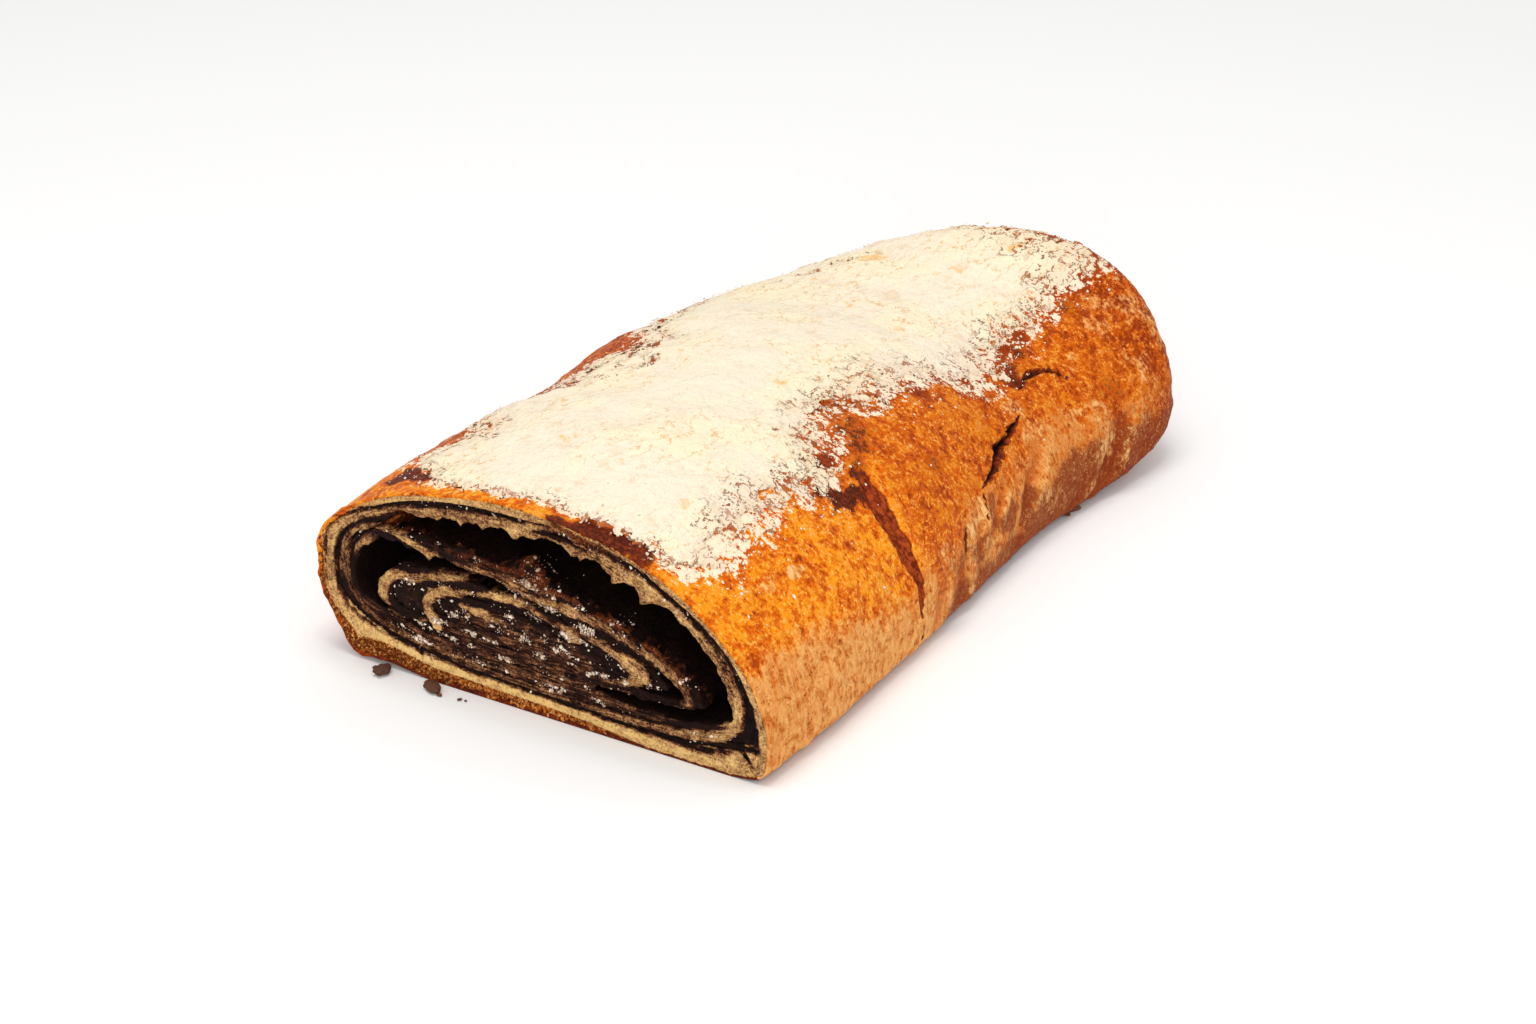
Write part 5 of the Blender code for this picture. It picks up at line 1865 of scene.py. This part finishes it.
@dataclass(frozen=True)
class FillingPiece:
    """The chocolate between the turns of the sheet, sunk to a rough floor under each hollow."""

    roll: Roll
    pattern: CutPattern
    spacing: float = 0.55 * MM
    front_rows: int = 18
    depths: tuple = (1.0, 0.86, 0.72, 0.58, 0.46, 0.36, 0.27, 0.19, 0.13, 0.085, 0.05, 0.028, 0.012)
    plain_depth: float = 7 * MM
    overlap: float = 0.3 * MM
    # the heap of crumbs on the large hollow's floor: x, y, half widths and height
    pile: tuple = (-4.4 * MM, 3.4 * MM, 3.6 * MM, 2.8 * MM, 2.9 * MM)

    def far_side(self, turns: Array, near: Array) -> Array:
        """Where the chocolate ends towards the middle: at the next turn of dough, or at the core.

        Args:
            turns: how far along the sheet its columns are.
            near: the places (x, z) that it starts from.

        Returns:
            The places (x, z) where it ends.
        """
        roll = self.roll
        next_outer = roll.faces(np.minimum(turns + 1, roll.end))[0]
        start, end = np.array(roll.core)
        run = end - start
        u = np.clip(((near - start) @ run) / (run @ run), 0, 1)
        core = start + u[:, None] * run
        return lerp(next_outer, core, ease(roll.end - 1.06, roll.end - 0.94, turns))

    def reach(self, turns: Array) -> Array:
        """How deep into the loaf the chocolate is made.

        Args:
            turns: how far along the sheet its columns are.

        Returns:
            The depth of each column.
        """
        reach = np.full(turns.shape, self.plain_depth)
        for hollow in self.roll.hollows:
            inside = ease(hollow.start - 0.02, hollow.start + 0.01, turns)
            inside *= ease(hollow.end + 0.02, hollow.end - 0.01, turns)
            reach = np.maximum(reach, hollow.depth * inside)
        return reach

    def build(self) -> bpy.types.Object:
        """Models the chocolate.

        Returns:
            The piece, with marks for its finish.
        """
        roll = self.roll
        stops, turns = roll.stops(roll.start, self.spacing, 4000)
        near = roll.faces(turns)[1]
        far = self.far_side(turns, near)
        overlap = unit(near - far) * self.overlap
        near, far = near + overlap, far - overlap
        front = np.linspace(0, 1, self.front_rows)
        shares = np.concatenate([np.zeros(len(self.depths)), front, [1.0, 1.0]])
        depths = np.array(self.depths + (0.0,) * self.front_rows + (0.2, 0.5))
        across, facing = shares[:, None], (depths == 0)[:, None]
        y = depths[:, None] * self.reach(turns)[None]
        lumps = fractal(places_of(y.shape, stops, y, 0.0), 4.0 * MM, 61, 4)
        sunk = roll.emptiness(turns[None], y)
        sunk = np.clip(sunk + np.where(sunk > 0.02, 0.07 * lumps, 0.0), 0.0, 0.965)
        down = sunk + (1 - sunk) * across
        flat = lerp(near[None], far[None], down)
        points = roll.carried(flat, y)
        rough = fractal(points, 2.0 * MM, 63, 3)
        crumb = fractal(points, 0.8 * MM, 65, 2)
        shades = self.pattern.shades(flat)
        sink = 1 - ease(0.12, 0.5, shades["light"])
        set_back = 0.34 * MM + 0.5 * MM * sink + (0.25 + 0.4 * sink) * MM * rough + 0.22 * MM * crumb
        set_back += 0.5 * MM * sunk * ease(0.12, 0.0, across)
        points[..., 1] += np.where(facing, np.maximum(set_back, 0.15 * MM), 0.9 * MM)
        open_top = (~facing) & (sunk > 0.02)
        x, back, wide, deep, high = self.pile
        heap = hump(flat[..., 0], x, wide) * hump(y, back, deep)
        heap = heap * ease(1.40, 1.45, turns) * ease(1.75, 1.65, turns)
        pile = high * heap * (1 + 0.45 * crumb)
        points[..., 2] += (0.6 * MM * rough + 0.45 * MM * crumb + pile) * open_top
        pinch(points)
        behind = ease(0.2 * MM, 2.5 * MM, y)
        rust = ease(-0.3, 0.4, rough + crumb) * ease(6 * MM, 1 * MM, y)
        # the red mark: painted light on the left end of the large hollow, and rusty crumbs on the hollows'
        # floors
        red = np.maximum(roll.painted_light(turns, y, (1.53, 1.42)), 0.7 * open_top * rust)
        red = np.maximum(red * (turns < 2.0), 0.6 * heap * (1 + crumb))
        thickness = np.linalg.norm(far - near, axis=-1)
        marks = {
            "light": np.where(facing, shades["light"], shades["light"] * (1 - behind) + 0.03 * behind),
            "red": np.where(facing, shades["red"], red),
            "crust": np.zeros(y.shape),
            "roll": places_of(y.shape, stops, down * thickness, y),
        }
        marks = {name: np.concatenate([v, v[:1]]) for name, v in marks.items()}
        points = np.concatenate([points, points[:1]])
        return lattice("filling", roll.loaf.placed(points), marks)


# ---------------------------------------------------------------- the sugar


@dataclass(frozen=True)
class SugarPiece:
    """The icing sugar on top: a lumpy powder coat whose thin edge breaks up over the crust."""

    loaf: Loaf
    spacing: float = 0.52 * MM
    base: float = 0.55 * MM
    thickness: float = 0.85 * MM
    grain_height: float = 0.14 * MM
    clod_height: float = 0.45 * MM
    tuck: float = 0.5 * MM  # how far the coat dips into the crust where it ends
    bared: float = -0.25  # the cover below which the coat is cut away
    # the angles, in degrees, and the distances from the cut that the coat is made between
    angles: tuple = (38, 147)
    span: tuple = (1.2 * MM, 199 * MM)
    # how wide the edge is that breaks up, on each side and at the cut
    right_edge: float = 6.0 * MM
    left_edge: float = 4.8 * MM
    front_edge: float = 1.6 * MM

    def grid(self) -> Skin:
        """Even places over the top, a little past the edges of the sugar.

        Returns:
            The places on the skin.
        """
        low, high = (self.loaf.girth(angle * DEGREE) for angle in self.angles)
        fine = np.linspace(30, 155, 1001) * DEGREE
        columns = np.interp(np.arange(low, high, self.spacing), self.loaf.girth(fine), fine)
        rows = np.arange(*self.span, self.spacing)
        y, angle = np.meshgrid(rows, columns, indexing="ij")
        return self.loaf.skin(angle, y)

    def build(self) -> bpy.types.Object:
        """Models the coat.

        Returns:
            The piece, with marks for its finish.
        """
        loaf, at = self.loaf, self.grid()
        broad = fractal(at.bare, 9 * MM, 71, 3)
        ragged = fractal(at.bare, 4.0 * MM, 73, 4)
        torn = fractal(at.bare, 1.9 * MM, 75, 2)
        gap = loaf.spotted(loaf.sugar_gaps, at, ragged)
        stain = loaf.spotted(loaf.stains, at, ragged)
        edge = np.where(at.degrees < 90, self.right_edge, self.left_edge)
        edge = self.front_edge + (edge - self.front_edge) * ease(5 * MM, 20 * MM, at.y)
        inside = loaf.sugar_margin(at) / edge
        cover = inside + 0.55 * broad + 1.5 * ragged + 0.55 * torn - 0.1
        holes = ease(-0.10, 0.22, torn + 0.8 * fractal(at.bare, 4.5 * MM, 78, 2))
        cover = np.minimum(cover, 3.0 - 2.1 * ease(0.1, 0.6, gap))
        cover = cover - 1.15 * np.clip(1.35 * gap, 0.0, 1.0) * holes
        full = ease(-0.15, 0.55, cover)
        lumps = self.thickness * ease(0.2, 3.2, inside) * (0.8 + 0.95 * fractal(at.bare, 11 * MM, 77, 4))
        grains = self.grain_height * fractal(at.bare, 2.2 * MM, 79, 3)
        clods = self.clod_height * fractal(at.bare, 5.0 * MM, 80, 3) * ease(3.6, 0.8, inside)
        height = full * (self.base + self.tuck + lumps + grains + clods) - self.tuck
        points = at.bare + at.out * (loaf.broad_relief(at) + height)[..., None]
        points[..., 1] = np.clip(points[..., 1], 0.2 * MM, loaf.length)
        thin = ease(1.15, 0.0, cover) * 0.85 + 0.05
        thin = np.maximum(thin, 0.66 * ease(3.0, 0.6, inside + 1.0 * broad) + 0.1 * broad)
        marks = {"thin": thin, "cover": cover, "gap": 0.45 * gap, "stain": stain}
        piece = lattice("sugar_coat", loaf.placed(points), marks, Facing.FLIPPED)
        self.trim(piece)
        return piece

    def trim(self, piece: bpy.types.Object) -> None:
        """Deletes the faces that lie under the crust, beyond the coat's edge.

        Args:
            piece: the coat.
        """
        cover = np.zeros(len(piece.data.vertices), np.float32)
        piece.data.attributes["cover"].data.foreach_get("value", cover)
        deselect()
        bpy.context.view_layer.objects.active = piece
        piece.data.vertices.foreach_set("select", cover < self.bared)
        piece.data.edges.foreach_set("select", [False] * len(piece.data.edges))
        piece.data.polygons.foreach_set("select", [False] * len(piece.data.polygons))
        bpy.ops.object.mode_set(mode="EDIT")
        bpy.ops.mesh.select_mode(type="VERT")
        bpy.ops.mesh.delete(type="VERT")
        bpy.ops.mesh.select_all(action="SELECT")
        bpy.ops.mesh.delete_loose()
        bpy.ops.object.mode_set(mode="OBJECT")


@dataclass(frozen=True)
class Sprinkling:
    """Loose grains: clumps of sugar over the crust, and bits on the cut."""

    loaf: Loaf
    clump_count: int = 1500
    tries: int = 60000  # places drawn for the clumps, of which few are chosen
    speck_count: int = 1900
    # x, z, half width and strength of the places on the cut where crumbs gather, in millimetres
    clusters: tuple = (
        (-46, 22.5, 1.8, 9), (-44.5, 16, 2.5, 4), (-33, 14.5, 2, 9), (-28, 15.5, 2, 7), (-24, 18, 1.4, 8),
        (-19.5, 15.4, 1.8, 10), (-20, 11.6, 1.6, 10), (-14, 14.8, 2, 7), (-10, 10.8, 1.4, 9),
        (-5, 17.4, 1.6, 5), (-15, 8.5, 3, 4), (-9, 22, 2, 6), (-1, 15, 2, 2), (4, 17, 2.4, 3),
        (10.5, 24.3, 2, 9), (7, 22, 2, 9), (11, 21, 1.6, 6), (7.5, 16, 1.8, 8), (12.5, 13.3, 1.6, 8),
        (16, 15, 2.6, 5), (24, 9, 1.2, 12), (14, 7.8, 1.6, 6), (11, 9.5, 1.4, 5), (2, 8.5, 3, 3),
        (-33, 9, 3, 4), (-25, 12, 3, 4), (0, 33.5, 3, 7), (6, 33, 3, 5), (12, 35, 2, 5), (14, 31, 4, 3),
        (-4, 30, 3, 4), (33, 6.3, 2, 5), (38, 6.5, 2, 3), (3, 28, 3, 4), (20, 28, 4, 2),
        (-3, 35.5, 3.4, 22), (-2, 24.5, 3, 3),
    )
    # x, y, z and radius of each crumb on the floor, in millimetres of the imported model's frame
    fallen: tuple = (
        (-40.9, -104.4, 1.0, 2.0), (-26.8, -104.6, 0.9, 2.1), (-19.0, -105.2, 0.3, 0.5),
        (-43.5, -103.5, 0.4, 0.7), (-24.0, -106.0, 0.35, 0.6), (-17.6, -104.9, 0.2, 0.35),
        (52.6, 50.0, 0.8, 2.2), (53.4, 46.6, 0.5, 1.0),
    )

    def clumps(self) -> bpy.types.Object:
        """Small clumps of sugar near the coat's edges and, thinly, further down the sides.

        Returns:
            The clumps as one piece.
        """
        loaf, draw = self.loaf, np.random.default_rng(5)
        angle = draw.uniform(18, 160, self.tries) * DEGREE
        y = draw.uniform(3 * MM, 196 * MM, self.tries)
        margin = loaf.sugar_margin(loaf.skin(angle, y))
        chance = np.exp(-np.abs(margin + 2 * MM) / (4 * MM)) + 0.06 * (margin > 0)
        chance += 0.008 * (margin < 0) * (margin > -26 * MM)
        chosen = np.flatnonzero(draw.uniform(0, 1, angle.shape) < chance * 0.3)[: self.clump_count]
        at = loaf.skin(angle[chosen], y[chosen])
        sizes = 0.14 * MM + 0.34 * MM * draw.uniform(0, 1, len(chosen)) ** 4
        lift = loaf.broad_relief(at) + 0.1 * MM + np.where(margin[chosen] > 1 * MM, 1.0 * MM, 0.0)
        places = loaf.placed(at.bare + at.out * lift[:, None])
        marks = {"kind": draw.uniform(0.5, 1.0, len(chosen))}
        return Grain(flatness=0.55).scatter("sugar_clumps", places, at.out, sizes, 6, marks)

    def cut_specks(self, filling: bpy.types.Object) -> bpy.types.Object:
        """Pale and brown crumbs that cling to the chocolate at the cut and in the hollows.

        Args:
            filling: the chocolate that they lie on.

        Returns:
            The crumbs as one piece.
        """
        mesh, draw = filling.data, np.random.default_rng(8)
        count = len(mesh.polygons)
        centres, normals, areas = np.zeros(count * 3), np.zeros(count * 3), np.zeros(count)
        mesh.polygons.foreach_get("center", centres)
        mesh.polygons.foreach_get("normal", normals)
        mesh.polygons.foreach_get("area", areas)
        centres, normals = centres.reshape(-1, 3), normals.reshape(-1, 3)
        front = centres[:, 1] + self.loaf.length / 2
        shown = (front < 12 * MM) & ((normals[:, 1] < -0.3) | (normals[:, 2] > 0.4))
        x, _, z = (centres + (self.loaf.middle_x, 0, 0)).T / MM
        inside = ease(-55, -48, x) * ease(52, 44, x)
        inside = inside * (0.5 + 0.5 * (z > 8)) * ease(4.5, 6, z)
        heap = hump(x, -3, 3.6) * ease(30.5, 32.5, z)
        inside = inside * np.where(normals[:, 1] < -0.3, 1.0, 0.05 + 0.8 * heap)
        patch = fractal(centres, 4 * MM, 81, 3)
        weight = 0.015 + 0.35 * ease(0.15, 0.6, patch)
        for middle_x, middle_z, wide, strength in self.clusters:
            spread = ((x - middle_x) ** 2 + 3 * (z - middle_z) ** 2) / (0.5 * wide**2)
            weight += strength * np.exp(-spread) * ease(-0.5, 0.3, patch)
        weight = weight * shown * np.exp(-front / (3 * MM)) * areas * inside
        chosen = draw.choice(count, self.speck_count, replace=False, p=weight / weight.sum())
        kinds = draw.uniform(0, 1, self.speck_count) ** 0.9 * (1 - 0.75 * heap[chosen])
        sizes = 0.10 * MM + 0.36 * MM * draw.uniform(0, 1, self.speck_count) ** 4
        sizes, out = sizes * (1 + 0.5 * heap[chosen]), normals[chosen]
        places = centres[chosen] + out * 0.08 * MM
        return Grain(roughness=0.5).scatter("cut_crumbs", places, out, sizes, 9, {"kind": kinds})

    def floor_crumbs(self) -> bpy.types.Object:
        """The crumbs that fell in front of the cut, and two chips of crust beside the loaf.

        Returns:
            The crumbs as one piece.
        """
        crumbs = np.array(self.fallen) * MM
        up = np.tile((0.0, 0.0, 1.0), (len(crumbs), 1))
        kinds = np.linspace(0.2, 0.5, len(crumbs))
        grain = Grain(subdivisions=3, roughness=0.16, flatness=0.45)
        piece = grain.scatter("floor_crumbs", crumbs[:, :3], up, crumbs[:, 3], 12, {"kind": kinds})
        heights = np.zeros(len(piece.data.vertices) * 3)
        piece.data.vertices.foreach_get("co", heights)
        heights = heights.reshape(-1, 3)
        heights[:, 2] = np.maximum(heights[:, 2], 0.0)
        piece.data.vertices.foreach_set("co", heights.ravel())
        return piece


# ---------------------------------------------------------------- the studio


@dataclass(frozen=True)
class Studio:
    """The floor, the soft lights and the camera."""

    target: tuple = (0.0216, -0.0424, 0.030)
    camera_at: tuple = (0.33468, -0.55490, 0.32408)
    lens: float = 70.0
    floor_size: float = 6.0
    # name, place, width, strength and colour of each soft lamp
    lamps: tuple = (
        ("key", (0.02, -0.12, 1.0), 0.5, 4.1, (1.0, 0.985, 0.96)),
        ("front", (0.55, -1.0, 0.5), 0.5, 3.8, (1.0, 0.98, 0.95)),
    )
    sky: float = 0.72

    def floor(self) -> bpy.types.Object:
        """Adds the floor.

        Returns:
            The floor.
        """
        deselect()
        bpy.ops.mesh.primitive_plane_add(size=self.floor_size, location=(0, 0, 0))
        floor = bpy.context.object
        floor.name = "floor"
        floor.data.materials.append(Paper().material())
        return floor

    def aim(self, thing: bpy.types.Object, target: Sequence[float]) -> None:
        """Turns a camera or lamp towards a place."""
        away = Vector(target) - thing.location
        thing.rotation_euler = away.to_track_quat("-Z", "Y").to_euler()

    def lamp(self, name: str, place: tuple, size: float, watts: float, colour: tuple) -> None:
        """Adds a soft square lamp that faces the loaf.

        Args:
            name: its name.
            place: where it hangs.
            size: its width, in metres.
            watts: its strength.
            colour: its red, green and blue, from 0 to 1.
        """
        bpy.ops.object.light_add(type="AREA", location=place)
        lamp = bpy.context.object
        lamp.name = name
        lamp.data.size, lamp.data.energy, lamp.data.color = size, watts, colour
        self.aim(lamp, self.target)

    def light(self) -> None:
        """Lights the scene softly from above and the left."""
        for lamp in self.lamps:
            self.lamp(*lamp)
        world = bpy.data.worlds.new("soft_white")
        bpy.context.scene.world = world
        world.use_nodes = True
        sky = world.node_tree.nodes["Background"].inputs
        sky["Color"].default_value = (1.0, 1.0, 1.0, 1.0)
        sky["Strength"].default_value = self.sky

    def camera(self) -> None:
        """Places the camera where the photograph was taken from."""
        bpy.ops.object.camera_add(location=self.camera_at)
        camera = bpy.context.object
        camera.name = "camera"
        camera.data.lens, camera.data.sensor_width = self.lens, 36.0
        camera.data.dof.use_dof = False
        self.aim(camera, self.target)
        bpy.context.scene.camera = camera
        bpy.context.scene.view_settings.view_transform = "Standard"


# ---------------------------------------------------------------- the whole


class Slot(Enum):
    """The record's material slots."""

    CRUST = "baked_crust"
    CHOCOLATE = "dark_chocolate"
    SUGAR = "white_sugar"


def dress(piece: bpy.types.Object, material: bpy.types.Material, node: str | None) -> None:
    """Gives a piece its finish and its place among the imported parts, and reports it.

    Args:
        piece: the piece.
        material: its finish.
        node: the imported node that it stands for, if any.
    """
    piece.data.materials.clear()
    piece.data.materials.append(material)
    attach(piece, "root")
    if node:
        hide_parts(node)
    triangles = sum(len(face.vertices) - 2 for face in piece.data.polygons)
    LOG.info("%s: %d triangles, finish %s", piece.name, triangles, material.name)


def main() -> None:
    """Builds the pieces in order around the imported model."""
    logging.basicConfig(level=logging.INFO, format="%(message)s")
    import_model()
    loaf = Loaf()
    roll = Roll(loaf)
    crust, sugar = Crust().material(), Sugar().material()
    dough, chocolate = CutFace("cut_dough", 0.62).material(), CutFace("dark_chocolate", 0.45).material()
    pattern = CutPattern()
    pale_bits = Bits("pale_crumbs", srgb(150, 100, 68), srgb(250, 236, 214)).material()
    sugar_bits = Bits("sugar_bits", srgb(226, 206, 172), srgb(240, 230, 208)).material()
    brown_bits = Bits("brown_crumbs", srgb(52, 30, 20), srgb(150, 90, 50)).material()
    dress(CrustPiece(loaf).build(), crust, "dough")
    dress(WallPiece(roll, pattern).build(), dough, "dough")
    dress(SheetPiece(roll, pattern).build(), dough, "dough")
    filling = FillingPiece(roll, pattern).build()
    dress(filling, chocolate, "chocolate_filling")
    dress(SugarPiece(loaf).build(), sugar, "icing_sugar")
    bits = Sprinkling(loaf)
    dress(bits.clumps(), sugar_bits, None)
    dress(bits.cut_specks(filling), pale_bits, None)
    dress(bits.floor_crumbs(), brown_bits, None)
    studio = Studio()
    studio.floor()
    studio.light()
    studio.camera()


if __name__ == "__main__":
    main()
